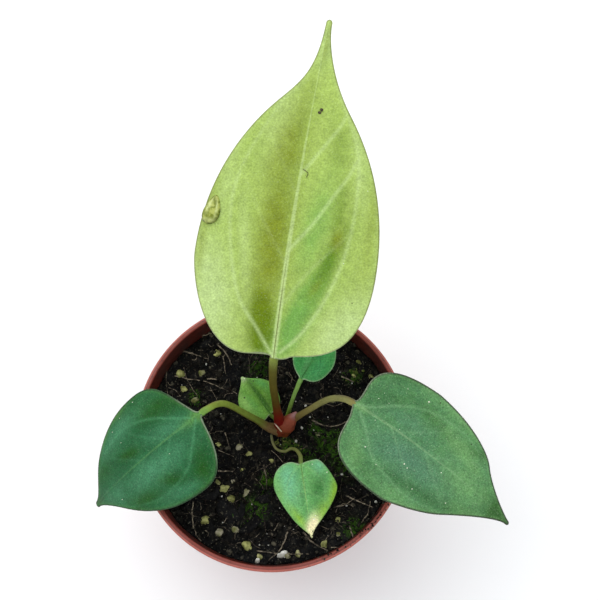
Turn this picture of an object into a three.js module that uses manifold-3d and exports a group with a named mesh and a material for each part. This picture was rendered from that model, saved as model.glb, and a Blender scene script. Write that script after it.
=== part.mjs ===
// Young potted anthurium with six leaves in a thin nursery pot.
// Millimetres, +Z up. The origin is the middle of the pot's base; the tallest leaf leans back, to +Y.
import * as THREE from "three";
import * as BufferGeometryUtils from "three/addons/utils/BufferGeometryUtils.js";
import Module from "manifold-3d";

const wasm = await Module();
wasm.setup();

// Driving dimensions
const GAP = 0.3; // clearance kept between neighbours
const POT_HEIGHT = 72;
const RIM_RADIUS = 45;
const LIP_WIDTH = 1.8;
const LIP_DEPTH = 6;
const LIP_TAPER = 1.1; // how much narrower the lip is at its foot
const WALL = 1.0;
const FLOOR = 1.2; // thickness of the pot's base
const BEVEL = 0.6; // rounding of the lip's and foot's edges
const FOOT_RADIUS = 31.5;
const PAD_RADIUS = 12; // flat middle of the base
const FOOT_RING = 4; // width of the ring that the pot stands on
const FOOT_RECESS = 1.5; // height of the drained ring above the table
const HOLE_COUNT = 8;
const HOLE_RADIUS = 3.5;
const HOLE_CIRCLE = 20;
const SOIL_DEPTH = 7.6; // depth of the soil below the rim at the back and left
const SOIL_HEAP = 5.4; // how much higher it lies at the front right rim
const HEAP_BEARING = -70; // degrees
const GRANULE = 1.3; // radius of the pale granules
const BLADE_THICKNESS = 0.8;
const BASE_HALF = 0.8; // half width of a blade where it leaves its stalk

// Colours, roughness
const FINISH = {
  pot: [0xb4634c, 0.5],
  soil: [0x2b2620, 0.95],
  stem: [0x8a4a30, 0.55],
  cataphyll: [0xa8505a, 0.5],
  tall_blade: [0xa3b65a, 0.55],
  right_blade: [0x4f8a50, 0.7],
  left_blade: [0x2f6b42, 0.65],
  front_blade: [0x62a85a, 0.6],
  back_left_blade: [0x5d9a3f, 0.6],
  back_right_blade: [0x3f8a4a, 0.6],
  tall_petiole: [0x6e5a22, 0.5],
  right_petiole: [0x8c8a4a, 0.5],
  left_petiole: [0x98a53a, 0.5],
  front_petiole: [0x9fa35a, 0.5],
  back_left_petiole: [0x7f9a50, 0.5],
  back_right_petiole: [0x7f9a50, 0.5],
};

// A blade side: half width, where it is widest (share of the length), lean of the base edge in degrees
// forward of straight out, fullness of the shoulder, handle lengths before and after the widest place,
// place and half width (shares) of the neck where the drawn-out tip begins, slope there, tip handle, and
// the place (along, across) where the fillet from the stalk ends and the shoulder begins
function side(half, wideAt, lean, full, back, fore, neckAt, neckHalf, slope, tip, fillet) {
  return { half, wideAt, lean, full, back, fore, neckAt, neckHalf, slope, tip, fillet };
}

// A leaf's blade starts at its base point, runs along a heading (degrees from +X) that sweeps by an angle,
// and its midrib changes from the first to the second rise (degrees above level). Fold is the lift of both
// halves at the base and at the tip, droop the fall of the margins in millimetres, wave their ripple,
// blunt the half width of the rounded end.
const LEAVES = {
  tall: {
    base: [1.3, 14.2, 120], length: 99.5, heading: 82, sweep: -4.4, rise: [30, 14], roll: 5,
    fold: [8, 5], droop: 3, wave: 0.5, phase: 0.1, blunt: 0.9, rows: 26, columns: 7,
    right: side(26.5, 0.29, 35, 0.14, 0.29, 0.22, 0.74, 0.43, 38, 0.06, [1, 4.6]),
    left: side(27.6, 0.28, -14, 0.58, 0.06, 0.18, 0.71, 0.48, 37, 0.18, [0.8, 6]),
    stalk: [[2.9, 2.1, 67], [2.5, 3, 70], [1.8, 5.2, 80], [1.2, 7.5, 92], [0.8, 10.4, 106], [1.2, 13.6, 119]],
    girth: [2, 2, 1.35, 1.2, 1.2, 1.35],
  },
  right: {
    base: [25.5, 4.6, 100], length: 66, heading: -31.2, sweep: -8, rise: [-4, -38], roll: 0,
    fold: [8, 4], droop: 3, wave: 0.6, phase: 0.3, blunt: 0.7, rows: 20, columns: 6,
    right: side(20.1, 0.36, 17, 0.29, 0.42, 0.02, 0.66, 0.62, 34, 0.07, [0.9, 3.4]),
    left: side(17.5, 0.32, -3, 0.23, 0.33, 0.02, 0.72, 0.53, 45, 0.03, [1.1, 4.5]),
    stalk: [[3.6, 2, 66], [6, 3.8, 70], [9.1, 5, 76], [12.3, 5.8, 82], [16, 6.8, 89], [20, 6.8, 96],
      [23.4, 5.6, 99.6], [25, 4.8, 99.8]],
    girth: [1.6, 1.5, 1.2, 1.15, 1.1, 1.1, 1.15, 1.2],
  },
  left: {
    base: [-21.3, 1.4, 100], length: 61.5, heading: 212.8, sweep: 0, rise: [-22, -64], roll: 0,
    fold: [6, 4], droop: 3.5, wave: 0.5, phase: 0.6, blunt: 1, rows: 20, columns: 6,
    right: side(17.9, 0.29, 26, 0.72, 0.14, 0.23, 0.71, 0.59, 31, 0.11, [1.7, 2.2]),
    left: side(19.7, 0.23, 6, 0.13, 0.21, 0.28, 0.75, 0.4, 36, 0.06, [0.9, 2.5]),
    stalk: [[2, 1.6, 66], [-1.5, 2.1, 70], [-4.7, 3.2, 76], [-8.8, 4.2, 84], [-12.9, 5.2, 92], [-15.1, 5, 96.5],
      [-17.3, 3.9, 99.5], [-20.6, 1.9, 100.3]],
    girth: [2.1, 1.6, 1.25, 1.15, 1.1, 1.1, 1.1, 1.2],
  },
  front: {
    base: [9.3, -10.8, 75], length: 24, heading: -81.2, sweep: 0, rise: [-2, -18], roll: 0,
    fold: [14, 6], droop: 1, wave: 0.3, phase: 0.2, blunt: 0.3, rows: 12, columns: 4,
    right: side(9.9, 0.25, -50, 0.24, 0.28, 0.12, 0.76, 0.45, 34, 0.06, [-0.2, 1.5]),
    left: side(10.7, 0.35, 0, 0.22, 0.05, 0.13, 0.79, 0.33, 46, 0.06, [-0.6, 5.2]),
    stalk: [[-0.6, 1.2, 60], [-0.5, 0.7, 65], [0.1, -2.8, 67], [1.5, -5, 67.5], [4, -5.7, 67.5],
      [6.1, -4.9, 68.5], [7.8, -5.6, 70], [9.1, -7.7, 72], [9.3, -10.2, 74.1]],
    girth: [0.6, 0.6, 0.55, 0.55, 0.55, 0.55, 0.6, 0.65, 0.65],
  },
  back_left: {
    base: [-0.7, 6.4, 70], length: 15.5, heading: 129, sweep: 0, rise: [16, 4], roll: 0,
    fold: [12, 6], droop: 0.8, wave: 0.3, phase: 0.4, blunt: 0.6, rows: 10, columns: 4,
    right: side(6.9, 0.4, -20, 0.4, 0.16, 0.12, 0.74, 0.62, 50, 0.06, [-0.3, 1.8]),
    left: side(7.1, 0.4, -20, 0.4, 0.16, 0.12, 0.74, 0.62, 50, 0.06, [-0.3, 1.8]),
    stalk: [[2.4, 3, 64.5], [0.8, 5.2, 67], [-0.5, 6.1, 69.1]],
    girth: [0.8, 0.7, 0.7],
  },
  back_right: {
    base: [9.4, 15.6, 82.8], length: 19, heading: 57, sweep: 0, rise: [10, -8], roll: 0,
    fold: [10, 6], droop: 1, wave: 0.4, phase: 0.7, blunt: 0.5, rows: 10, columns: 4,
    right: side(6.8, 0.42, 5, 0.5, 0.2, 0.12, 0.76, 0.58, 46, 0.06, [0.5, 1.8]),
    left: side(6.9, 0.42, 25, 0.4, 0.2, 0.12, 0.76, 0.58, 46, 0.06, [0.6, 1.8]),
    stalk: [[3.6, 3, 65], [4.9, 5.7, 69], [5.6, 7.6, 72], [6.6, 9.9, 76], [7.7, 12.2, 79.5], [9.2, 15.2, 82.2]],
    girth: [1, 0.95, 0.8, 0.75, 0.75, 0.8],
  },
};

// The short stem and the pointed scale leaf at its crown
const STEM = { points: [[3.4, 1.6, 55], [3.3, 1.7, 62], [3.2, 2, 66], [3, 2.3, 68.6]], girth: [2.6, 2.8, 2.9, 2.5] };
const CATAPHYLL = {
  points: [[4.4, 0.6, 65], [4.8, 1.7, 69], [5.9, 3.6, 72.6], [7.8, 5.9, 75.6]],
  girth: [2.2, 2.7, 2.1, 0.35],
};

// Granules on the soil: x, y and size against the usual one
const GRANULES = [
  [-18, -3, 0.8], [-11, -4, 1], [-10, -11.5, 0.8], [-18, -15.5, 0.8], [-16, -17.5, 1.3], [-13.5, -21, 1],
  [-9, -19, 1.1], [-22, -28, 1.2], [-17, -32, 1.1], [-12, -31, 1.1], [-8, -36, 1.4], [0, -8.5, 0.8],
  [5, -39.5, 1.1], [8.5, -39, 0.9], [17, -36, 1], [-31, 21, 1.2], [-24, 21, 1], [-30, 16, 1.1], [-26, 12, 1],
  [-19, 28, 1], [27, 20, 1.1], [-4, -40, 0.9], [29, 25, 0.8], [33, 20, 0.8], [21, -28, 1], [21.5, -33, 0.8],
  [20, 12, 0.8], [15, 0, 0.8], [-13, -15.5, 0.7], [-8, -6, 0.8],
];

function degrees(angle) {
  return THREE.MathUtils.degToRad(angle);
}

// Small repeatable random numbers from 0 to 1
function seeded(seed) {
  let state = seed;
  return () => {
    state = (state * 16807) % 2147483647;
    return state / 2147483647;
  };
}

function geometryOf(positions, indices) {
  const geometry = new THREE.BufferGeometry();
  geometry.setAttribute("position", new THREE.Float32BufferAttribute(positions, 3));
  geometry.setIndex(indices);
  return geometry;
}

function solidOf(geometry) {
  const bare = geometry.clone();
  bare.deleteAttribute("normal");
  bare.deleteAttribute("uv");
  const merged = BufferGeometryUtils.mergeVertices(bare, 1e-4);
  const vertProperties = new Float32Array(merged.attributes.position.array);
  const triVerts = new Uint32Array(merged.index.array);
  return new wasm.Manifold(new wasm.Mesh({ numProp: 3, vertProperties, triVerts }));
}

function geometryFrom(solid) {
  const mesh = solid.getMesh();
  return geometryOf(mesh.vertProperties, new THREE.BufferAttribute(new Uint32Array(mesh.triVerts), 1));
}

// Direction, sideways direction and upper face direction of a leaf's midrib at a length along it
function midribDirections(leaf, along) {
  const share = THREE.MathUtils.clamp(along / leaf.length, 0, 1);
  const yaw = degrees(leaf.heading + leaf.sweep * share);
  const pitch = degrees(THREE.MathUtils.lerp(leaf.rise[0], leaf.rise[1], share));
  const roll = degrees(leaf.roll);
  const ahead = new THREE.Vector3(Math.cos(pitch) * Math.cos(yaw), Math.cos(pitch) * Math.sin(yaw), Math.sin(pitch));
  const level = new THREE.Vector3(Math.sin(yaw), -Math.cos(yaw), 0);
  const up = level.clone().cross(ahead);
  const aside = level.clone().multiplyScalar(Math.cos(roll)).addScaledVector(up, Math.sin(roll));
  const face = up.clone().multiplyScalar(Math.cos(roll)).addScaledVector(level, -Math.sin(roll));
  return { ahead, aside, face };
}

function midribPlace(leaf, along) {
  const steps = 40;
  const stride = along / steps;
  const place = new THREE.Vector3(...leaf.base);
  for (let i = 0; i < steps; i++) {
    place.addScaledVector(midribDirections(leaf, stride * (i + 0.5)).ahead, stride);
  }
  return place;
}

// Middle surface of a blade and its face direction, at a length along it and a width to the right
function bladePlace(leaf, along, across) {
  const { aside, face } = midribDirections(leaf, along);
  const share = THREE.MathUtils.clamp(along / leaf.length, 0, 1);
  const widest = (leaf.right.half + leaf.left.half) / 2;
  const outward = across / widest;
  const fold = degrees(THREE.MathUtils.lerp(leaf.fold[0], leaf.fold[1], share));
  const ripple = leaf.wave * Math.sin(2 * Math.PI * (2 * share + leaf.phase));
  const lift = Math.abs(across) * Math.sin(fold) + (ripple - leaf.droop) * outward * outward;
  const place = midribPlace(leaf, along);
  place.addScaledVector(aside, across * Math.cos(fold)).addScaledVector(face, lift);
  return { place, face };
}

// Margin of one side, from the stalk round the shoulder to the tip
function marginOf(leaf, half) {
  const { length, blunt } = leaf;
  const neckHandle = 0.12 * length;
  const lean = degrees(half.lean);
  const slope = degrees(half.slope);
  const shoulder = half.full * half.half;
  const at = (along, across) => new THREE.Vector2(along, across);
  const wide = half.wideAt * length;
  const neck = at(half.neckAt * length, half.neckHalf * half.half);
  const fillet = at(...half.fillet);
  const bend = 0.55 * (fillet.y - BASE_HALF);
  const turn = at(fillet.x - bend * Math.sin(lean), fillet.y - bend * Math.cos(lean));
  const path = new THREE.CurvePath();
  path.add(new THREE.CubicBezierCurve(at(0, BASE_HALF), at(0.6 * turn.x, BASE_HALF), turn, fillet));
  path.add(new THREE.CubicBezierCurve(
    fillet,
    at(fillet.x + shoulder * Math.sin(lean), fillet.y + shoulder * Math.cos(lean)),
    at(wide - half.back * length, half.half),
    at(wide, half.half),
  ));
  path.add(new THREE.CubicBezierCurve(
    at(wide, half.half),
    at(wide + half.fore * length, half.half),
    at(neck.x - neckHandle * Math.cos(slope), neck.y + neckHandle * Math.sin(slope)),
    neck,
  ));
  path.add(new THREE.CubicBezierCurve(
    neck,
    at(neck.x + neckHandle * Math.cos(slope), neck.y - neckHandle * Math.sin(slope)),
    at(length * (1 - half.tip), blunt),
    at(length - blunt, blunt),
  ));
  path.add(new THREE.CubicBezierCurve(
    at(length - blunt, blunt),
    at(length - 0.45 * blunt, blunt),
    at(length, 0.55 * blunt),
    at(length, 0.25),
  ));
  return path;
}

// A blade: rows run from the midrib to the margin as the side veins do, alike on the upper and under face
function bladeGeometry(leaf) {
  const { rows, columns } = leaf;
  const margins = { "-1": marginOf(leaf, leaf.left), 1: marginOf(leaf, leaf.right) };
  const positions = [];
  const across = 2 * columns + 1;
  for (const layer of [1, -1]) {
    for (let i = 0; i <= rows; i++) {
      const share = i / rows;
      const rib = leaf.length * share ** 1.5;
      for (let j = -columns; j <= columns; j++) {
        const margin = margins[j < 0 ? -1 : 1].getPointAt(share);
        const out = (Math.abs(j) / columns) ** 1.2;
        const along = THREE.MathUtils.lerp(rib, margin.x, out);
        const width = Math.sign(j) * margin.y * out;
        const { place, face } = bladePlace(leaf, along, width);
        const ridge = layer < 0 ? 0.7 * (1 - share) * Math.exp(-((width / 1.2) ** 2)) : 0;
        place.addScaledVector(face, layer * (BLADE_THICKNESS / 2 + ridge));
        positions.push(place.x, place.y, place.z);
      }
    }
  }
  const under = (rows + 1) * across;
  const indices = [];
  const quad = (a, b, c, d) => indices.push(a, b, c, a, c, d);
  for (let i = 0; i < rows; i++) {
    for (let j = 0; j < across - 1; j++) {
      const a = i * across + j;
      const b = a + 1;
      const c = b + across;
      const d = a + across;
      quad(a, b, c, d);
      indices.push(under + a, under + c, under + b, under + a, under + d, under + c);
    }
    const first = i * across;
    const last = first + across - 1;
    quad(first, first + across, under + first + across, under + first);
    quad(last + across, last, under + last, under + last + across);
  }
  const tip = rows * across;
  for (let j = 0; j < across - 1; j++) {
    quad(j + 1, j, under + j, under + j + 1);
    quad(tip + j, tip + j + 1, under + tip + j + 1, under + tip + j);
  }
  return geometryOf(positions, indices);
}

// A round stalk that follows points and changes its girth from one to the next
function stalkGeometry({ points, girth }, sides, steps, grow = 0) {
  const curve = new THREE.CatmullRomCurve3(points.map((point) => new THREE.Vector3(...point)), false, "centripetal");
  const frames = curve.computeFrenetFrames(steps, false);
  const positions = [];
  const indices = [];
  for (let i = 0; i <= steps; i++) {
    const share = i / steps;
    const centre = curve.getPointAt(share);
    const place = curve.getUtoTmapping(share) * (girth.length - 1);
    const whole = Math.min(Math.floor(place), girth.length - 2);
    const radius = THREE.MathUtils.lerp(girth[whole], girth[whole + 1], place - whole) + grow;
    for (let j = 0; j < sides; j++) {
      const turn = (2 * Math.PI * j) / sides;
      const point = centre.clone();
      point.addScaledVector(frames.normals[i], radius * Math.cos(turn));
      point.addScaledVector(frames.binormals[i], radius * Math.sin(turn));
      positions.push(point.x, point.y, point.z);
    }
  }
  for (let i = 0; i < steps; i++) {
    for (let j = 0; j < sides; j++) {
      const a = i * sides + j;
      const b = i * sides + ((j + 1) % sides);
      indices.push(a, b, b + sides, a, b + sides, a + sides);
    }
  }
  const end = steps * sides;
  for (let j = 1; j < sides - 1; j++) {
    indices.push(0, j + 1, j, end, end + j, end + j + 1);
  }
  return geometryOf(positions, indices);
}

// Inner radius of the pot at a height above its floor
function potBore(height) {
  const mouth = RIM_RADIUS - LIP_WIDTH;
  return THREE.MathUtils.mapLinear(height, FOOT_RECESS, POT_HEIGHT, FOOT_RADIUS - WALL, mouth);
}

// Pot: a turned shell with a stepped lip, a raised ring of drainage holes and a foot ring
function potGeometry() {
  const lipFoot = POT_HEIGHT - LIP_DEPTH;
  const mouth = RIM_RADIUS - LIP_WIDTH;
  const ringInside = FOOT_RADIUS - FOOT_RING;
  const raised = FOOT_RECESS + FLOOR;
  const profile = [
    [0, 0],
    [PAD_RADIUS, 0],
    [PAD_RADIUS + FOOT_RECESS, FOOT_RECESS],
    [ringInside - FOOT_RECESS, FOOT_RECESS],
    [ringInside, 0],
    [FOOT_RADIUS - BEVEL, 0],
    [FOOT_RADIUS, BEVEL],
    [potBore(lipFoot) + WALL, lipFoot],
    [RIM_RADIUS - LIP_TAPER - BEVEL / 2, lipFoot],
    [RIM_RADIUS - LIP_TAPER, lipFoot + BEVEL / 2],
    [RIM_RADIUS, POT_HEIGHT - BEVEL],
    [RIM_RADIUS - BEVEL, POT_HEIGHT],
    [mouth + BEVEL / 2, POT_HEIGHT],
    [mouth, POT_HEIGHT - BEVEL / 2],
    [potBore(lipFoot), lipFoot],
    [potBore(raised + FLOOR), raised + FLOOR],
    [potBore(raised) - FLOOR, FLOOR],
    [ringInside + BEVEL, FLOOR],
    [ringInside - BEVEL, raised],
    [PAD_RADIUS + 1, raised],
    [PAD_RADIUS - BEVEL, FLOOR],
    [0, FLOOR],
  ];
  const shell = new THREE.LatheGeometry(profile.map(([r, z]) => new THREE.Vector2(r, z)), 64);
  shell.rotateX(Math.PI / 2);
  let solid = solidOf(shell);
  for (let i = 0; i < HOLE_COUNT; i++) {
    const turn = (2 * Math.PI * i) / HOLE_COUNT;
    const drill = new THREE.CylinderGeometry(HOLE_RADIUS, HOLE_RADIUS, 4 * raised, 20);
    drill.rotateX(Math.PI / 2);
    drill.translate(HOLE_CIRCLE * Math.cos(turn), HOLE_CIRCLE * Math.sin(turn), 0);
    solid = solid.subtract(solidOf(drill));
  }
  return geometryFrom(solid);
}

// Height of the soil: level at the back and left, heaped up to the rim at the front right, a low mound at the stem
function soilHeight(x, y) {
  const reach = Math.hypot(x, y) / RIM_RADIUS;
  const bearing = Math.max(0, Math.cos(Math.atan2(y, x) - degrees(HEAP_BEARING)));
  const heap = SOIL_HEAP * bearing ** 1.5 * reach ** 3;
  const mound = 1.2 * Math.exp(-((x - 4) ** 2 + y ** 2) / 60);
  const swell = 0.4 * Math.sin(x * 0.21 + 1) * Math.cos(y * 0.26) + 0.3 * Math.sin(0.47 * y - 0.3 * x);
  return POT_HEIGHT - SOIL_DEPTH + heap + mound + swell;
}

// Soil: fills the pot, with an uneven top that granules stand out of
function soilGeometry(holes) {
  const around = 44;
  const rings = 9;
  const floor = FOOT_RECESS + FLOOR + GAP;
  const corner = 2.2; // how far the soil keeps inside the pot's lower corner
  const random = seeded(23);
  const positions = [0, 0, soilHeight(0, 0)];
  for (let i = 1; i <= rings; i++) {
    for (let j = 0; j < around; j++) {
      const turn = (2 * Math.PI * j) / around;
      const edge = potBore(POT_HEIGHT - SOIL_DEPTH) - GAP;
      const reach = (i / rings) * edge;
      const x = reach * Math.cos(turn);
      const y = reach * Math.sin(turn);
      const crumb = i < rings ? 0.9 * (random() - 0.5) : 0;
      positions.push(x, y, soilHeight(x, y) + crumb);
    }
  }
  for (let j = 0; j < around; j++) {
    const turn = (2 * Math.PI * j) / around;
    const reach = potBore(floor) - corner;
    positions.push(reach * Math.cos(turn), reach * Math.sin(turn), floor);
  }
  positions.push(0, 0, floor);
  const indices = [];
  const ring = (i) => 1 + (i - 1) * around;
  for (let j = 0; j < around; j++) {
    const k = (j + 1) % around;
    indices.push(0, ring(1) + j, ring(1) + k);
    for (let i = 1; i <= rings; i++) {
      const a = ring(i) + j;
      const b = ring(i + 1) + j;
      const c = ring(i + 1) + k;
      const d = ring(i) + k;
      indices.push(a, b, c, a, c, d);
    }
    indices.push(positions.length / 3 - 1, ring(rings + 1) + k, ring(rings + 1) + j);
  }
  let solid = solidOf(geometryOf(positions, indices));
  for (const [x, y, size] of GRANULES) {
    const granule = new THREE.IcosahedronGeometry(GRANULE * size, 0);
    granule.rotateX(x);
    granule.rotateZ(y);
    granule.scale(1, 1, 0.8);
    granule.translate(x, y, soilHeight(x, y) + 0.1 * GRANULE);
    solid = solid.add(solidOf(granule));
  }
  for (const hole of holes) {
    solid = solid.subtract(hole);
  }
  return geometryFrom(solid);
}

const plant = new THREE.Group();

function addMesh(name, geometry) {
  const [color, roughness] = FINISH[name];
  geometry.computeVertexNormals();
  const mesh = new THREE.Mesh(geometry, new THREE.MeshStandardMaterial({ color, roughness, metalness: 0 }));
  mesh.name = name;
  plant.add(mesh);
}

addMesh("pot", potGeometry());

// The stem first, then each stalk cut clear of what is already at the crown
const crown = [];
function addStalk(name, stalk, sides, steps) {
  let solid = solidOf(stalkGeometry(stalk, sides, steps));
  for (const neighbour of crown) {
    solid = solid.subtract(neighbour);
  }
  crown.push(solidOf(stalkGeometry(stalk, sides, steps, GAP)));
  addMesh(name, geometryFrom(solid));
}

addStalk("stem", STEM, 14, 8);
for (const [name, leaf] of Object.entries(LEAVES)) {
  const steps = 2 * leaf.stalk.length + 2;
  addStalk(`${name}_petiole`, { points: leaf.stalk, girth: leaf.girth }, 9, steps);
  addMesh(`${name}_blade`, bladeGeometry(leaf));
}
addStalk("cataphyll", CATAPHYLL, 10, 8);
addMesh("soil", soilGeometry(crown));

export default plant;
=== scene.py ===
"""Young anthurium in a nursery pot: fine surfaces and finishes round the solid model.

Lengths are millimetres in the model's own frame and become metres when a mesh is made.
"""

import math

import bpy
import numpy as np
from bpy.props import FloatProperty, FloatVectorProperty, IntProperty, PointerProperty
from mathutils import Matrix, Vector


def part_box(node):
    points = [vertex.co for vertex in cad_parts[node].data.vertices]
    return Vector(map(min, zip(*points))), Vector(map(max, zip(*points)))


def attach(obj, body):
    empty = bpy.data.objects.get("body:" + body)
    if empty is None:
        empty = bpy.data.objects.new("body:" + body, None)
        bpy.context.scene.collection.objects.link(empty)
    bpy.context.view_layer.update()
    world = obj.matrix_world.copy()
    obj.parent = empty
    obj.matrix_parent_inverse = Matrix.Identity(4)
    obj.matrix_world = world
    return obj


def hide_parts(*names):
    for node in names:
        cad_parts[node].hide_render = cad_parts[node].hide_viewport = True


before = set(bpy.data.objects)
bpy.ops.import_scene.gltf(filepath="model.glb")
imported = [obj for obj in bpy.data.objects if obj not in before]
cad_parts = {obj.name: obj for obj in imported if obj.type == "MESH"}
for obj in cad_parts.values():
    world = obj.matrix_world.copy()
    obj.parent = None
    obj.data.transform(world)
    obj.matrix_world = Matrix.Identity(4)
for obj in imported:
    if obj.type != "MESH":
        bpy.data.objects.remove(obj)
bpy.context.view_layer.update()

bl_info = {
    "name": "Potted Anthurium",
    "version": (1, 0, 0),
    "blender": (4, 5, 0),
    "location": "3D View > Sidebar > Plant",
    "description": "Builds a young anthurium in a nursery pot, piece by piece",
    "category": "Object",
}

MM = 0.001

# Pot, from the solid model's box and the same walls
POT_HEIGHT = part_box("pot")[1].z / MM
RIM_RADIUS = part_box("pot")[1].x / MM
LIP_WIDTH = 1.8
LIP_DEPTH = 6.0
LIP_TAPER = 1.1
WALL = 1.0
FLOOR = 1.2
BEVEL = 0.6
FOOT_RADIUS = 31.5
PAD_RADIUS = 12.0
FOOT_RING = 4.0
FOOT_RECESS = 1.5
HOLE_COUNT = 8
HOLE_RADIUS = 3.5
HOLE_CIRCLE = 20.0
POT_SIDES = 160
HOLE_SIDES = 32
DRILL_SPAN = (-2, 6)

# Soil: its form, then counts and the reach from the middle within which loose things lie
SOIL_DEPTH = 7.6
SOIL_HEAP = 5.4
HEAP_BEARING = -70.0
GRANULE = 1.3
SOIL_CELLS = 290
RIM_CRUMBS = 90
RIM_CRUMB_BEARING = (-42, 14)
RIM_CRUMB_REACH = (42.6, 44.6)
BARK_CHIPS = 130
FINE_PERLITE = 40
TWIG_KINK = 0.09
TWIG_LIFT = 0.55
ALGAE_LUMPS = 110
CROWN_LUMPS = 71
ALGAE_PLACE = (5, -2.9)
ALGAE_SHIFT = (24, 23.5)
SOIL_REACH = 41.0
CRUMB_REACH = 41.5
SCATTER_REACH = 40.0
FIBRE_REACH = 39.0

# Blades: sizes, the kinds of patch, painted shade, painted sheen and painted light among them, and the two
# sides
BLADE_THICKNESS = 0.55
EDGE_THICKNESS = 0.16
BASE_HALF = 0.8
VEIN_WIDTH = 0.22
VEIN_GROWTH = 0.0035
SWELL_MARGIN = 1.2
EDGE_ROUND = 0.5
OUTLINE_POINTS = 1600
PATCH_KINDS = ("dark", "bluish_sheen", "pale", "brown", "dead")
HANDS = {1: "right", -1: "left"}

# Stalks: sides and steps of the mesh, share of the blade that a stalk runs on below, and the shares of its
# length over which the tone of its foot fades
STALK_SIDES = 28
CROWN_SIDES = 36
STALK_STEPS = 14
RUN_ON = 0.12
STALK_FADE = (0.13, 0.27)
TALL_FADE = (0.24, 0.52)

# Camera: it looks down on the plant from the front
CAMERA_PLACE = (9.067, -69.385, 498.018)
CAMERA_TILT = 15.0
CAMERA_LENS = 78.72

# Stage, in metres
FLOOR_REACH = 3.0
SKY_COLOUR = (0.94, 0.97, 1.0, 1)
LAMP_PLACE = (-0.25, 0.35, 0.9)
LAMP_SIZE = 1.0

SIDE_VALUES = (
    "half", "wide_at", "lean", "full", "back", "fore", "neck_at", "neck_half", "slope", "tip", "fillet",
)


def side(*values):
    """One side of a blade's outline, with the same meaning as in the solid model."""
    return dict(zip(SIDE_VALUES, values))


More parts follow.
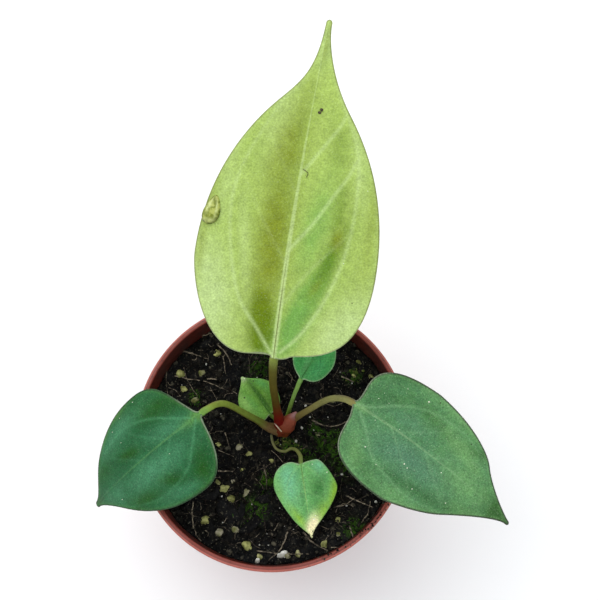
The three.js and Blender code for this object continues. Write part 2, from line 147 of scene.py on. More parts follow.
# Leaves as in the solid model, with some stalks slightly thinner, the rows and columns of the fine mesh and
# the height of its swells
LEAVES = {
    "tall": {
        "base": (1.3, 14.2, 120), "length": 99.5, "heading": 82, "sweep": -4.4, "rise": (30, 14),
        "roll": 5, "fold": (8, 5), "droop": 3, "wave": 0.5, "phase": 0.1, "blunt": 0.9, "rows": 230,
        "columns": 60,
        "right": side(26.5, 0.29, 35, 0.14, 0.29, 0.22, 0.74, 0.43, 38, 0.06, (1, 4.6)),
        "left": side(27.6, 0.28, -14, 0.58, 0.06, 0.18, 0.71, 0.48, 37, 0.18, (0.8, 6)),
        "stalk": [
            (2.9, 2.1, 67), (2.5, 3, 70), (1.8, 5.2, 80), (1.2, 7.5, 92), (0.8, 10.4, 106),
            (1.2, 13.6, 119),
        ],
        "girth": (2, 2, 1.35, 1.2, 1.2, 1.35), "swell": 0.09,
    },
    "right": {
        "base": (25.5, 4.6, 100), "length": 66, "heading": -31.2, "sweep": -8, "rise": (-4, -38),
        "roll": 0, "fold": (8, 4), "droop": 3, "wave": 0.6, "phase": 0.3, "blunt": 0.7, "rows": 170,
        "columns": 48,
        "right": side(20.1, 0.36, 17, 0.29, 0.42, 0.02, 0.66, 0.62, 34, 0.07, (0.9, 3.4)),
        "left": side(17.5, 0.32, -3, 0.23, 0.33, 0.02, 0.72, 0.53, 45, 0.03, (1.1, 4.5)),
        "stalk": [
            (3.6, 2, 66), (6, 3.8, 70), (9.1, 5, 76), (12.3, 5.8, 82), (16, 6.8, 89), (20, 6.8, 96),
            (23.4, 5.6, 99.6), (25, 4.8, 99.8),
        ],
        "girth": (1.5, 1.3, 1.05, 1, 1, 1, 1.05, 1.1), "swell": 0.2,
    },
    "left": {
        "base": (-21.3, 1.4, 100), "length": 61.5, "heading": 212.8, "sweep": 0, "rise": (-22, -64),
        "roll": 0, "fold": (6, 4), "droop": 3.5, "wave": 0.5, "phase": 0.6, "blunt": 1, "rows": 170,
        "columns": 48,
        "right": side(17.9, 0.29, 26, 0.72, 0.14, 0.23, 0.71, 0.59, 31, 0.11, (1.7, 2.2)),
        "left": side(19.7, 0.23, 6, 0.13, 0.21, 0.28, 0.75, 0.4, 36, 0.06, (0.9, 2.5)),
        "stalk": [
            (2, 1.6, 66), (-1.5, 2.1, 70), (-4.7, 3.2, 76), (-8.8, 4.2, 84), (-12.9, 5.2, 92),
            (-15.1, 5, 96.5), (-17.3, 3.9, 99.5), (-20.6, 1.9, 100.3),
        ],
        "girth": (2.1, 1.5, 1.15, 1.05, 1, 1, 1, 1.1), "swell": 0.2,
    },
    "front": {
        "base": (9.3, -10.8, 75), "length": 24, "heading": -81.2, "sweep": 0, "rise": (-2, -18),
        "roll": 0, "fold": (14, 6), "droop": 1, "wave": 0.3, "phase": 0.2, "blunt": 0.3, "rows": 90,
        "columns": 32,
        "right": side(9.9, 0.25, -50, 0.24, 0.28, 0.12, 0.76, 0.45, 34, 0.06, (-0.2, 1.5)),
        "left": side(10.7, 0.35, 0, 0.22, 0.05, 0.13, 0.79, 0.33, 46, 0.06, (-0.6, 5.2)),
        "stalk": [
            (-0.6, 1.2, 60), (-0.5, 0.7, 65), (0.1, -2.8, 67), (1.5, -5, 67.5), (4, -5.7, 67.5),
            (6.1, -4.9, 68.5), (7.8, -5.6, 70), (9.1, -7.7, 72), (9.3, -10.2, 74.1),
        ],
        "girth": (0.45, 0.45, 0.42, 0.42, 0.45, 0.5, 0.58, 0.68, 0.75), "swell": 0.3,
    },
    "back_left": {
        "base": (-0.7, 6.4, 70), "length": 15.5, "heading": 129, "sweep": 0, "rise": (16, 4), "roll": 0,
        "fold": (12, 6), "droop": 0.8, "wave": 0.3, "phase": 0.4, "blunt": 0.6, "rows": 70, "columns": 26,
        "right": side(6.9, 0.4, -20, 0.4, 0.16, 0.12, 0.74, 0.62, 50, 0.06, (-0.3, 1.8)),
        "left": side(7.1, 0.4, -20, 0.4, 0.16, 0.12, 0.74, 0.62, 50, 0.06, (-0.3, 1.8)),
        "stalk": [(2.4, 3, 64.5), (0.8, 5.2, 67), (-0.5, 6.1, 69.1)], "girth": (0.8, 0.7, 0.7),
        "swell": 0.2,
    },
    "back_right": {
        "base": (9.4, 15.6, 82.8), "length": 19, "heading": 57, "sweep": 0, "rise": (10, -8), "roll": 0,
        "fold": (10, 6), "droop": 1, "wave": 0.4, "phase": 0.7, "blunt": 0.5, "rows": 80, "columns": 26,
        "right": side(6.8, 0.42, 5, 0.5, 0.2, 0.12, 0.76, 0.58, 46, 0.06, (0.5, 1.8)),
        "left": side(6.9, 0.42, 25, 0.4, 0.2, 0.12, 0.76, 0.58, 46, 0.06, (0.6, 1.8)),
        "stalk": [
            (3.6, 3, 65), (4.9, 5.7, 69), (5.6, 7.6, 72), (6.6, 9.9, 76), (7.7, 12.2, 79.5),
            (9.2, 15.2, 82.2),
        ],
        "girth": (0.85, 0.8, 0.68, 0.64, 0.68, 0.8), "swell": 0.2,
    },
}

# Stem and scale leaf: points along the middle and radii there
STEM = {
    "points": [(3.4, 1.6, 55), (3.3, 1.7, 62), (3.2, 2, 66), (3, 2.3, 68.6)],
    "girth": (2.6, 2.8, 2.9, 2.5),
}
CATAPHYLL = {
    "points": [(4, 1.5, 66.5), (4.3, 2.3, 69.8), (5.7, 3.8, 72.8), (7.8, 5.9, 75.6)],
    "girth": (2, 2.7, 2.1, 0.4),
}

# Dry papery edge of the left stalk's sheath
PAPERY_STRIP = [(0.7, 2.7, 73.2), (1.9, 1.4, 72.6), (3.0, 0.3, 71.4)]

# Granules on the soil: x, y and size against the usual one
GRANULES = [
    (-18, -3, 0.8), (-11, -4, 1), (-10, -11.5, 0.8), (-18, -15.5, 0.8), (-16, -17.5, 1.3),
    (-13.5, -21, 1), (-9, -19, 1.1), (-22, -28, 1.2), (-17, -32, 1.1), (-12, -31, 1.1), (-8, -36, 1.4),
    (0, -8.5, 0.8), (5, -39.5, 1.1), (8.5, -39, 0.9), (17, -36, 1), (-31, 21, 1.2), (-24, 21, 1),
    (-30, 16, 1.1), (-26, 12, 1), (-19, 28, 1), (27, 20, 1.1), (-4, -40, 0.9), (29, 25, 0.8),
    (33, 20, 0.8), (21, -28, 1), (21.5, -33, 0.8), (20, 12, 0.8), (15, 0, 0.8), (-13, -15.5, 0.7),
    (-8, -6, 0.8),
]

# Larger bits of perlite: x, y, radius
PERLITE = [
    (3, -39.4, 1.15), (4, -38.6, 0.8), (-4.6, -41.3, 0.8), (7.7, -2.2, 0.5), (22.8, -12.9, 0.4),
    (33.8, -22.2, 0.45), (24.3, -23.4, 0.4), (10.9, 10, 0.4), (9.7, 2.5, 0.5), (26.5, 17.8, 0.35),
    (12.4, 6.2, 0.35), (-22.6, 24.3, 0.3),
]

# Twigs and larger roots that lie on the soil
TWIGS = [
    [(-31, 29), (-28, 28), (-25, 27), (-22, 26)], [(-33, 20), (-28, 19), (-22, 18), (-15, 15)],
    [(-35, 26), (-36, 20), (-35, 13)], [(-30, 23), (-29, 19), (-25, 13)],
    [(-19, 31), (-16, 28), (-14, 24)], [(-17, 27), (-16, 21)], [(-25, 34), (-21, 35)],
    [(-22, 19), (-19, 19)], [(-26, -22), (-26, -28), (-25, -32), (-23, -35)], [(-18, -5), (-13, -7)],
    [(-18, -12), (-13, -12)], [(-16, 1), (-14, -5)], [(-3, -10), (-2, -14), (-2, -18)],
    [(0, -33), (2, -29)], [(5, -32), (3, -37), (-1, -41)], [(-5, -38), (4, -39), (12, -39)],
    [(10, -32), (14, -36), (18, -38)], [(20, -24), (24, -23), (27, -21)],
    [(24, -20), (28, -22), (33, -24)], [(25, -30), (26, -33), (27, -35)],
    [(29, -29), (31, -26), (32, -22)], [(19, -37), (24, -37)], [(13, 5), (19, 3), (26, 5)],
    [(16, 14), (17, 10)], [(23, 20), (27, 18)], [(33, 28), (37, 25)],
]

# Slabs of bark: x, y, length, width, bearing
BARK = [
    (-15, -25, 11, 5, -50), (-7, -30, 8, 3, 40), (-10, -26, 7, 2.6, 80), (-15, 31, 8, 3.4, -60),
    (-3, -21, 5, 3, 10), (-20, -20, 6, 3, 20), (-23, 31, 5, 2.5, 40), (14, -31, 5, 2.6, 70),
    (28, -10, 5, 2, 20), (22, 27, 6, 3, -30),
]

# Places of moss: x, y, reach
MOSS = [
    (21, -4, 6), (25, -10, 5), (18, -2, 4), (27, 20, 3), (-4, 23, 4.5), (5.5, -3, 2.6), (-6, -24, 5),
    (27, -31, 4), (11, -8, 3.5), (-2, -15, 3), (-26, 13, 2.5), (14, 2, 3),
]

# Side veins with their strength at both ends; each lists places along and out from the midrib. The first of a
# side is the vein that runs round inside the margin.
VEINS = {
    "tall": {
        "right": [
            (
                1.0, 0.3,
                [(2.2, 1.7), (8.5, 7), (20, 12.9), (34, 16.7), (50, 17.5), (64, 15.3), (78, 8), (88, 4)],
            ),
            (0.9, 0.6, [(33, 0.3), (41, 5.8), (50.7, 11), (57, 14.3), (61, 15.6)]),
            (0.8, 0.5, [(55, 0.3), (65.8, 6.8), (70.6, 9.4), (74, 10.4)]),
            (0.4, 0.2, [(16, 0.3), (26, 6), (34, 12), (40, 17)]),
        ],
        "left": [
            (
                1.0, 0.3,
                [(0.9, 0.6), (9.2, 6.7), (16, 12), (27, 16), (44, 18.6), (56, 16.6), (70, 11), (84, 4.5)],
            ),
            (0.25, 0.1, [(29, 0.3), (38, 7), (47, 13), (54, 17)]),
            (0.2, 0.1, [(49, 0.3), (58, 6), (66, 11.4)]),
        ],
    },
    "right": {
        "right": [
            (
                1.0, 0.2,
                [(3.2, 1.5), (8.8, 6.4), (13.2, 10.8), (20.4, 13.4), (29.4, 14.7), (44, 12), (56, 5)],
            ),
            (0.6, 0.2, [(14, 0.3), (20, 5), (26, 10), (30, 14)]),
            (0.5, 0.2, [(27, 0.3), (34, 5.5), (41, 10)]),
        ],
        "left": [
            (1.0, 0.2, [(0.9, 0), (5.6, 1.9), (12.6, 7), (20, 10.5), (32, 12), (46, 9), (58, 3.5)]),
            (0.6, 0.2, [(17, 0.3), (24, 5), (31, 11)]), (0.5, 0.2, [(31, 0.3), (38, 4.5), (45, 8)]),
        ],
    },
    "left": {
        "right": [
            (1.0, 0.2, [(4, 0.8), (11.1, 5.6), (15.9, 8.4), (26, 11.5), (38, 10.5), (50, 5.5)]),
            (0.6, 0.2, [(15, 0.3), (21, 5), (27, 10.5)]), (0.4, 0.2, [(28, 0.3), (35, 5), (41, 9)]),
        ],
        "left": [
            (1.0, 0.2, [(2.5, 0.6), (8, 6.5), (14, 11.5), (25, 13.6), (38, 11), (50, 5)]),
            (0.6, 0.2, [(13, 0.3), (20, 6), (26, 12)]), (0.4, 0.2, [(26, 0.3), (33, 5), (40, 9.5)]),
        ],
    },
}

# Veins of the other blades, as shares of their length and half width: round the margin, and side veins
ROUND_VEIN = ((0.02, 0.05), (0.16, 0.42), (0.32, 0.6), (0.6, 0.5), (0.85, 0.2))
SIDE_VEIN = ((0, 0.02), (0.1, 0.28), (0.18, 0.6))
SIDE_VEIN_STARTS = (0.16, 0.34, 0.52)

# Patches on each blade: along, across, half length, half width (mm), turn (degrees), strength
# The dark patches are painted shade with a darker tone, the bluish ones a painted sheen, the pale ones
# painted light with a paler tone; brown and dead are the leaf's own colour
PATCHES = {
    "tall": {
        "dark": [
            (10, -4.8, 11, 3.6, -8, 1.7), (38, -4.2, 24, 3.6, 0, 0.5), (60, -3.6, 14, 3, 6, 0.4),
            (27, 11, 15, 2.5, 17, 1.25), (46, 13, 10, 2.4, -2, 0.6), (64, 10, 8, 3, -10, 0.4),
            (92, 1, 5, 1, 0, 0.7),
        ],
        "bluish_sheen": [(13, 5.5, 17, 4.2, 20, 1.15), (40, 7, 14, 4, 8, 0.7), (6, 0, 4, 3, 0, 0.4)],
        "pale": [
            (16, -21, 16, 6.5, -12, 1.2), (12, 19, 12, 6, 32, 1.1), (72, -8, 14, 4, 8, 0.5),
            (30, -12.6, 16, 2, -10, 0.5), (92, 0, 8, 2.4, 0, 0.5), (60, 17, 14, 2, -14, 0.4),
            (48, -21, 14, 3, 4, 0.4),
        ],
        "brown": [
            (36, -5, 22, 5, 0, 0.9), (60, -5, 16, 5, 6, 0.7), (74, -3, 10, 3, 8, 0.35),
            (30, -2.4, 26, 1.6, 0, 0.4), (50, -25, 22, 1.8, 4, 0.6), (38, 14, 3, 1.6, 0, 0.8),
            (23, 9.5, 4, 1.4, 28, 0.5), (48, 23, 18, 2, 0, 0.35), (30, -26, 12, 1.6, 0, 0.4),
            (92, 0.5, 5, 0.8, 0, 0.4),
        ],
    },
    "right": {
        "dark": [
            (62, 0, 7, 6, 0, 1.8), (12, 15, 16, 2.4, 26, 0.5), (8, -6, 8, 3, -30, 0.5),
            (30, 11.6, 15, 2, -6, 0.8), (24, -9.4, 12, 2, 10, 0.6), (42, -10, 9, 1.6, -16, 0.7),
            (48, 8, 12, 3, -20, 0.6), (12, -17, 14, 2, -20, 0.6),
        ],
        "bluish_sheen": [(24, 5, 16, 6, 0, 1.0), (18, -4, 10, 3, 0, 0.6)],
        "pale": [
            (38, -7, 12, 3, 15, 0.7), (44, 0, 10, 5, 0, 0.6), (50, 7, 9, 3, -10, 0.4),
            (28, 17, 16, 2.4, 0, 0.4), (8, 13, 8, 3, 60, 0.5), (1.5, 0, 4, 1.3, 0, 1.0),
            (30, -15, 14, 1.8, 6, 0.5),
        ],
        "brown": [(44, 16, 12, 1.2, -10, 0.2)],
    },
    "left": {
        "dark": [
            (14, 11, 14, 4, 20, 1.0), (30, 4, 5, 1.6, 10, 1.2), (22, -10, 6, 2, 30, 1.2),
            (35, -10, 7, 2.4, 10, 1.2), (10, -15, 9, 3.4, -60, 1.0), (46, 6, 6, 3, 0, 0.6),
        ],
        "bluish_sheen": [
            (24, -5, 16, 4, 0, 0.9), (30, 12, 14, 3, -6, 0.8), (12, 2, 10, 3, 10, 0.7),
            (46, -3, 8, 4, 0, 0.6), (20, -16, 8, 2, 10, 0.6),
        ],
        "pale": [(1.5, 0, 5.5, 1.6, 0, 0.7), (36, 15, 5, 1.2, -30, 0.35), (28, 17, 4, 1.2, 0, 0.35)],
        "brown": [(58, 0, 3, 1, 0, 0.3)],
    },
    "front": {
        "dark": [(10, 0.8, 9, 1.6, 0, 0.5), (9, -4.4, 7, 3, 10, 0.9)],
        "bluish_sheen": [(5, 5, 8, 3.6, 0, 1.0), (1, -6, 3, 2.4, 0, 1.0)],
        "pale": [
            (11, -9.4, 6, 1.8, 20, 1.1), (17, -4.2, 5, 2, 34, 0.9), (17, 3.4, 5, 1.4, -30, 0.9),
            (8, 8, 4, 1.4, 0, 0.3),
        ],
        "brown": [(23.6, 0.2, 1, 0.8, 0, 0.7)],
        "dead": [(20.8, -1, 3.4, 1.9, 16, 1.8)],
    },
    "back_left": {
        "dark": [(7, 0.8, 8, 1, 0, 1.2), (4, 3, 5, 1.6, 20, 0.6)],
        "bluish_sheen": [(6, -3, 5, 2, 0, 0.5), (10, 4, 4, 1.6, -20, 0.7)],
        "pale": [(13, -1, 3, 1.6, 0, 0.4), (8, -4.6, 6, 1.4, 0, 0.6)],
        "dead": [(15, 0, 1.2, 1.1, 0, 0.8)],
    },
    "back_right": {
        "dark": [(9, 0, 8, 0.8, 0, 0.7)],
        "bluish_sheen": [(5, 3, 5, 2.4, 0, 0.5)],
        "pale": [(5, -1, 4, 1, -10, 0.4)],
        "dead": [(9, -6.6, 9, 0.5, 0, 0.6)],
    },
}

# Specks that lie on the blades: along, across, radius; the dark ones are bits of soil
PALE_SPECKS = {
    "tall": [(31.6, 16.7, 0.14), (53.4, 20.2, 0.14)],
    "right": [
        (10.2, 9.8, 0.21), (16.1, 12.4, 0.14), (23.4, 7.2, 0.24), (24.9, 7.7, 0.21), (35, 2.3, 0.14),
        (42.1, 8.8, 0.17), (19.4, -13.3, 0.32), (30, 12, 0.14), (4.8, -7.7, 0.08), (6.5, -7.6, 0.1),
        (5.9, -5.2, 0.12), (10.5, -8.5, 0.08), (9.3, -5.7, 0.1), (11.9, -12.9, 0.12), (7.1, 10.1, 0.08),
        (8.2, 8.4, 0.1), (16.4, -0.8, 0.12), (19.4, -0.1, 0.08), (8.8, -8.2, 0.1), (8.5, 1.1, 0.12),
    ],
    "left": [
        (18.6, 16.4, 0.13), (30.7, 8.7, 0.13), (16.3, -4.3, 0.11), (44.3, -5.3, 0.13), (26.5, 15.3, 0.11),
        (32.3, 13.5, 0.11),
    ],
    "front": [
        (4, -8.1, 0.17), (0.8, -3.8, 0.17), (18, -1.6, 0.24), (17, -2.2, 0.17), (12, -0.2, 0.08),
        (9, 0.3, 0.08),
    ],
    "back_left": [(14.4, 0.4, 0.17)],
    "back_right": [(15, 2.5, 0.17)],
}
DARK_SPECKS = {
    "tall": [(73, 2.4, 0.45), (73.8, 2.8, 0.5), (20.6, 20.9, 0.15), (31.6, 10, 0.1)],
    "right": [(22.6, -15.2, 0.21), (37.9, -10.8, 0.17)],
    "left": [],
    "front": [(21.8, -0.6, 0.17), (22.6, 0.5, 0.17), (20.4, 0.8, 0.1), (23.2, -0.2, 0.14), (14, 2, 0.08)],
    "back_left": [(12, 2.2, 0.21), (9.5, -3.6, 0.24)],
    "back_right": [],
}

# Hair that lies on the tall blade: along and across
HAIR = [(56.4, 0.6), (55.4, 2.2), (54.2, 1.9)]

# Water drop on the tall blade: middle along and across, half length, half width, height
DROP = (40.6, -24.0, 4.3, 2.5, 1.3)


def linear(code):
    """Colour written as six hex digits, as the linear values that the shaders take."""
    parts = [int(code[i : i + 2], 16) / 255 for i in (0, 2, 4)]
    return tuple(c / 12.92 if c <= 0.04045 else ((c + 0.055) / 1.055) ** 2.4 for c in parts)


def unit(vectors):
    """Vectors drawn to length 1."""
    return vectors / np.linalg.norm(vectors, axis=-1, keepdims=True)


# Meshes


def make_piece(name, vertices, faces, material, nodes=(), attributes=None):
    """A smooth mesh object from millimetre points, riding on the plant's one body."""
    mesh = bpy.data.meshes.new(name)
    mesh.from_pydata((np.asarray(vertices, float) * MM).tolist(), [], [list(face) for face in faces])
    mesh.validate()
    mesh.shade_smooth()
    for key, values in (attributes or {}).items():
        mesh.attributes.new(key, "FLOAT", "POINT").data.foreach_set("value", np.asarray(values, np.float32))
    mesh.materials.append(material)
    piece = bpy.data.objects.new(name, mesh)
    bpy.context.scene.collection.objects.link(piece)
    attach(piece, "root")
    if nodes:
        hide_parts(*nodes)
    return piece


def join_parts(parts):
    """Vertices, faces and per-vertex attributes of several small meshes as one."""
    vertices, faces, attributes, count = [], [], {}, 0
    for points, polygons, values in parts:
        vertices.append(np.asarray(points, float))
        faces.extend([[i + count for i in polygon] for polygon in polygons])
        for key, value in values.items():
            attributes.setdefault(key, []).append(np.broadcast_to(value, (len(points),)))
        count += len(points)
    return np.concatenate(vertices), faces, {key: np.concatenate(found) for key, found in attributes.items()}


def join_piece(name, parts, material):
    """One piece from many small meshes."""
    vertices, faces, attributes = join_parts(parts)
    return make_piece(name, vertices, faces, material, (), attributes)


def grid_faces(rows, columns, start=0, flip=False, wrap=False):
    """Quads of a grid of points, rows first; wrap closes each row on itself."""
    faces = []
    across = columns if wrap else columns - 1
    for i in range(rows - 1):
        for j in range(across):
            a = start + i * columns + j
            b = start + i * columns + (j + 1) % columns
            quad = (a, b, b + columns, a + columns)
            faces.append(quad[::-1] if flip else quad)
    return faces


# Curves


def smooth_path(points, per_span):
    """Centripetal curve through points, as the stalks of the solid model follow, with places along it."""
    points = np.asarray(points, float)
    count = len(points) - 1
    padded = np.concatenate([[2 * points[0] - points[1]], points, [2 * points[-1] - points[-2]]])
    found, places = [], []
    for i in range(count):
        p0, p1, p2, p3 = padded[i : i + 4]
        d0, d1, d2 = (np.linalg.norm(b - a) ** 0.5 for a, b in ((p0, p1), (p1, p2), (p2, p3)))
        out = ((p1 - p0) / d0 - (p2 - p0) / (d0 + d1) + (p2 - p1) / d1) * d1
        into = ((p2 - p1) / d1 - (p3 - p1) / (d1 + d2) + (p3 - p2) / d2) * d1
        square, cube = 3 * (p2 - p1) - 2 * out - into, 2 * (p1 - p2) + out + into
        for k in range(per_span + (i == count - 1)):
            t = k / per_span
            found.append(p1 + out * t + square * t * t + cube * t ** 3)
            places.append(i + t)
    return np.array(found), np.array(places)


def path_frames(path):
    """Tangent, side and up directions along a path, carried on without twist."""
    tangents = unit(np.gradient(path, axis=0))
    up = np.array((0, 0, 1.0))
    if abs(tangents[0] @ up) > 0.9:
        up = np.array((0, -1.0, 0))
    ups = []
    for tangent in tangents:
        up = unit(up - tangent * (up @ tangent))
        ups.append(up)
    ups = np.array(ups)
    return tangents, np.cross(tangents, ups), ups


def tube(path, radii, sides, shape=None):
    """Closed round tube; shape(share, turn) scales the radius round and along it."""
    tangents, asides, ups = path_frames(path)
    turns = np.linspace(0, 2 * np.pi, sides, endpoint=False)
    shares = np.linspace(0, 1, len(path))
    radius = np.asarray(radii, float)[:, None] * np.ones(sides)
    if shape:
        radius = radius * shape(shares[:, None], turns[None, :])
    ring = asides[:, None] * np.cos(turns)[None, :, None] + ups[:, None] * np.sin(turns)[None, :, None]
    points = (path[:, None] + ring * radius[..., None]).reshape(-1, 3)
    first = path[0] - tangents[0] * radii[0] * 0.4
    last = path[-1] + tangents[-1] * radii[-1] * 0.6
    points = np.concatenate([points, [first, last]])
    faces = grid_faces(len(path), sides, wrap=True)
    end = len(points) - 1
    top = (len(path) - 1) * sides
    for j in range(sides):
        faces.append((end - 1, (j + 1) % sides, j))
        faces.append((end, top + j, top + (j + 1) % sides))
    share = np.concatenate([np.repeat(shares, sides), [0, 1]])
    turn = np.concatenate([np.tile(np.sin(turns), len(path)), [0, 0]])
    return points, faces, {"share": share, "upper": turn}


def bezier(points, count=60):
    """Cubic curve from four points."""
    t = np.linspace(0, 1, count)[:, None]
    a, b, c, d = (np.asarray(point, float) for point in points)
    return (1 - t) ** 3 * a + 3 * (1 - t) ** 2 * t * b + 3 * (1 - t) * t * t * c + t ** 3 * d


def resample(path, shares):
    """Points at even shares of a path's length."""
    steps = np.concatenate([[0], np.cumsum(np.linalg.norm(np.diff(path, axis=0), axis=1))])
    return np.stack([np.interp(shares * steps[-1], steps, path[:, k]) for k in range(path.shape[1])], -1)


def least_distance(points, targets):
    """Distance from each point to the nearest target, and which target that is."""
    found = np.empty(len(points))
    nearest = np.empty(len(points), int)
    for start in range(0, len(points), 2000):
        part = points[start : start + 2000]
        apart = ((part[:, None] - targets[None]) ** 2).sum(-1)
        nearest[start : start + 2000] = apart.argmin(1)
        found[start : start + 2000] = apart.min(1)
    return np.sqrt(found), nearest


def ripple(x, y, size, seed):
    """Smooth random heights from -1 to 1 with lumps of about a size."""
    cells = 64
    grid = np.random.default_rng(seed).uniform(-1, 1, (cells, cells))
    u, v = x / size, y / size
    i, j = np.floor(u).astype(int), np.floor(v).astype(int)
    a, b = u - i, v - j
    a, b = a * a * (3 - 2 * a), b * b * (3 - 2 * b)
    i, j = i % cells, j % cells
    k, m = (i + 1) % cells, (j + 1) % cells
    low = grid[i, j] * (1 - a) + grid[k, j] * a
    high = grid[i, m] * (1 - a) + grid[k, m] * a
    return low * (1 - b) + high * b


# Blades


def midrib_frames(leaf, along):
    """Ahead, aside and face directions of the midrib at lengths along it."""
    share = np.clip(along / leaf["length"], 0, 1)
    yaw = np.radians(leaf["heading"] + leaf["sweep"] * share)
    pitch = np.radians(leaf["rise"][0] + (leaf["rise"][1] - leaf["rise"][0]) * share)
    roll = math.radians(leaf["roll"])
    ahead = np.stack([np.cos(pitch) * np.cos(yaw), np.cos(pitch) * np.sin(yaw), np.sin(pitch)], -1)
    level = np.stack([np.sin(yaw), -np.cos(yaw), 0 * yaw], -1)
    up = np.cross(level, ahead)
    return ahead, level * math.cos(roll) + up * math.sin(roll), up * math.cos(roll) - level * math.sin(roll)


def midrib_places(leaf, along):
    """Places of the midrib at lengths along it."""
    steps = np.linspace(0, leaf["length"], 401)
    middles = (steps[1:] + steps[:-1]) / 2
    stride = steps[1] - steps[0]
    walked = np.concatenate([[(0, 0, 0)], np.cumsum(midrib_frames(leaf, middles)[0] * stride, axis=0)])
    inside = np.clip(along, 0, leaf["length"])
    place = np.stack([np.interp(inside, steps, walked[:, k]) for k in range(3)], -1)
    beyond = (along - inside)[..., None]
    return place + beyond * midrib_frames(leaf, inside)[0] + np.array(leaf["base"], float)


def blade_places(leaf, along, across):
    """Middle surface of a blade and its face direction, the same as in the solid model."""
    along, across = np.asarray(along, float), np.asarray(across, float)
    _, aside, face = midrib_frames(leaf, along)
    share = np.clip(along / leaf["length"], 0, 1)
    outward = across / ((leaf["right"]["half"] + leaf["left"]["half"]) / 2)
    fold = np.radians(leaf["fold"][0] + (leaf["fold"][1] - leaf["fold"][0]) * share)
    ripple = leaf["wave"] * np.sin(2 * np.pi * (2 * share + leaf["phase"]))
    lift = np.abs(across) * np.sin(fold) + (ripple - leaf["droop"]) * outward ** 2
    place = midrib_places(leaf, along) + aside * (across * np.cos(fold))[..., None] + face * lift[..., None]
    return place, face


def margin_path(leaf, half):
    """Outline of one side, from the stalk by its fillet round the shoulder to the tip: along and across."""
    length, blunt = leaf["length"], leaf["blunt"]
    handle = 0.12 * length
    lean, slope = math.radians(half["lean"]), math.radians(half["slope"])
    widest, wide = half["half"], half["wide_at"] * length
    shoulder = half["full"] * widest
    neck = (half["neck_at"] * length, half["neck_half"] * widest)
    reach, drop = handle * math.cos(slope), handle * math.sin(slope)
    fillet = half["fillet"]
    bend = 0.55 * (fillet[1] - BASE_HALF)
    turn = (fillet[0] - bend * math.sin(lean), fillet[1] - bend * math.cos(lean))
    end = (length - blunt, blunt)
    spans = [
        [(0, BASE_HALF), (0.6 * turn[0], BASE_HALF), turn, fillet],
        [fillet, (fillet[0] + shoulder * math.sin(lean), fillet[1] + shoulder * math.cos(lean)),
         (wide - half["back"] * length, widest), (wide, widest)],
        [(wide, widest), (wide + half["fore"] * length, widest), (neck[0] - reach, neck[1] + drop), neck],
        [neck, (neck[0] + reach, neck[1] - drop), (length * (1 - half["tip"]), blunt), end],
        [end, (length - 0.45 * blunt, blunt), (length, 0.55 * blunt), (length, 0.2)],
    ]
    return np.concatenate([bezier(span)[i > 0 :] for i, span in enumerate(spans)])


def vein_points(name, hand):
    """Points of the side veins of one half, with their strengths."""
    leaf, key = LEAVES[name], HANDS[hand]
    length, half = leaf["length"], leaf[key]["half"]
    if name in VEINS:
        veins = VEINS[name][key]
    else:
        lines = [(0.8, ROUND_VEIN)]
        lines += [(0.5, [(start + a, b) for a, b in SIDE_VEIN]) for start in SIDE_VEIN_STARTS]
        veins = [(shown, 0.2, [(a * length, b * half) for a, b in line]) for shown, line in lines]
    points, strengths = [], []
    for first, last, line in veins:
        path = smooth_path(np.array(line), 24)[0]
        points.append(path * (1, hand))
        strengths.append(np.linspace(first, last, len(path)))
    return np.concatenate(points), np.concatenate(strengths)


def patch_field(patches, along, across):
    """Soft blotches: the strongest of several turned oval spots at each place."""
    field = np.zeros_like(along)
    for middle, aside, reach, width, turn, strength in patches:
        angle = math.radians(turn)
        ahead = (along - middle) * math.cos(angle) + (across - aside) * math.sin(angle)
        beside = (across - aside) * math.cos(angle) - (along - middle) * math.sin(angle)
        field = np.maximum(field, strength * np.exp(-((ahead / reach) ** 2) - (beside / width) ** 2))
    return field


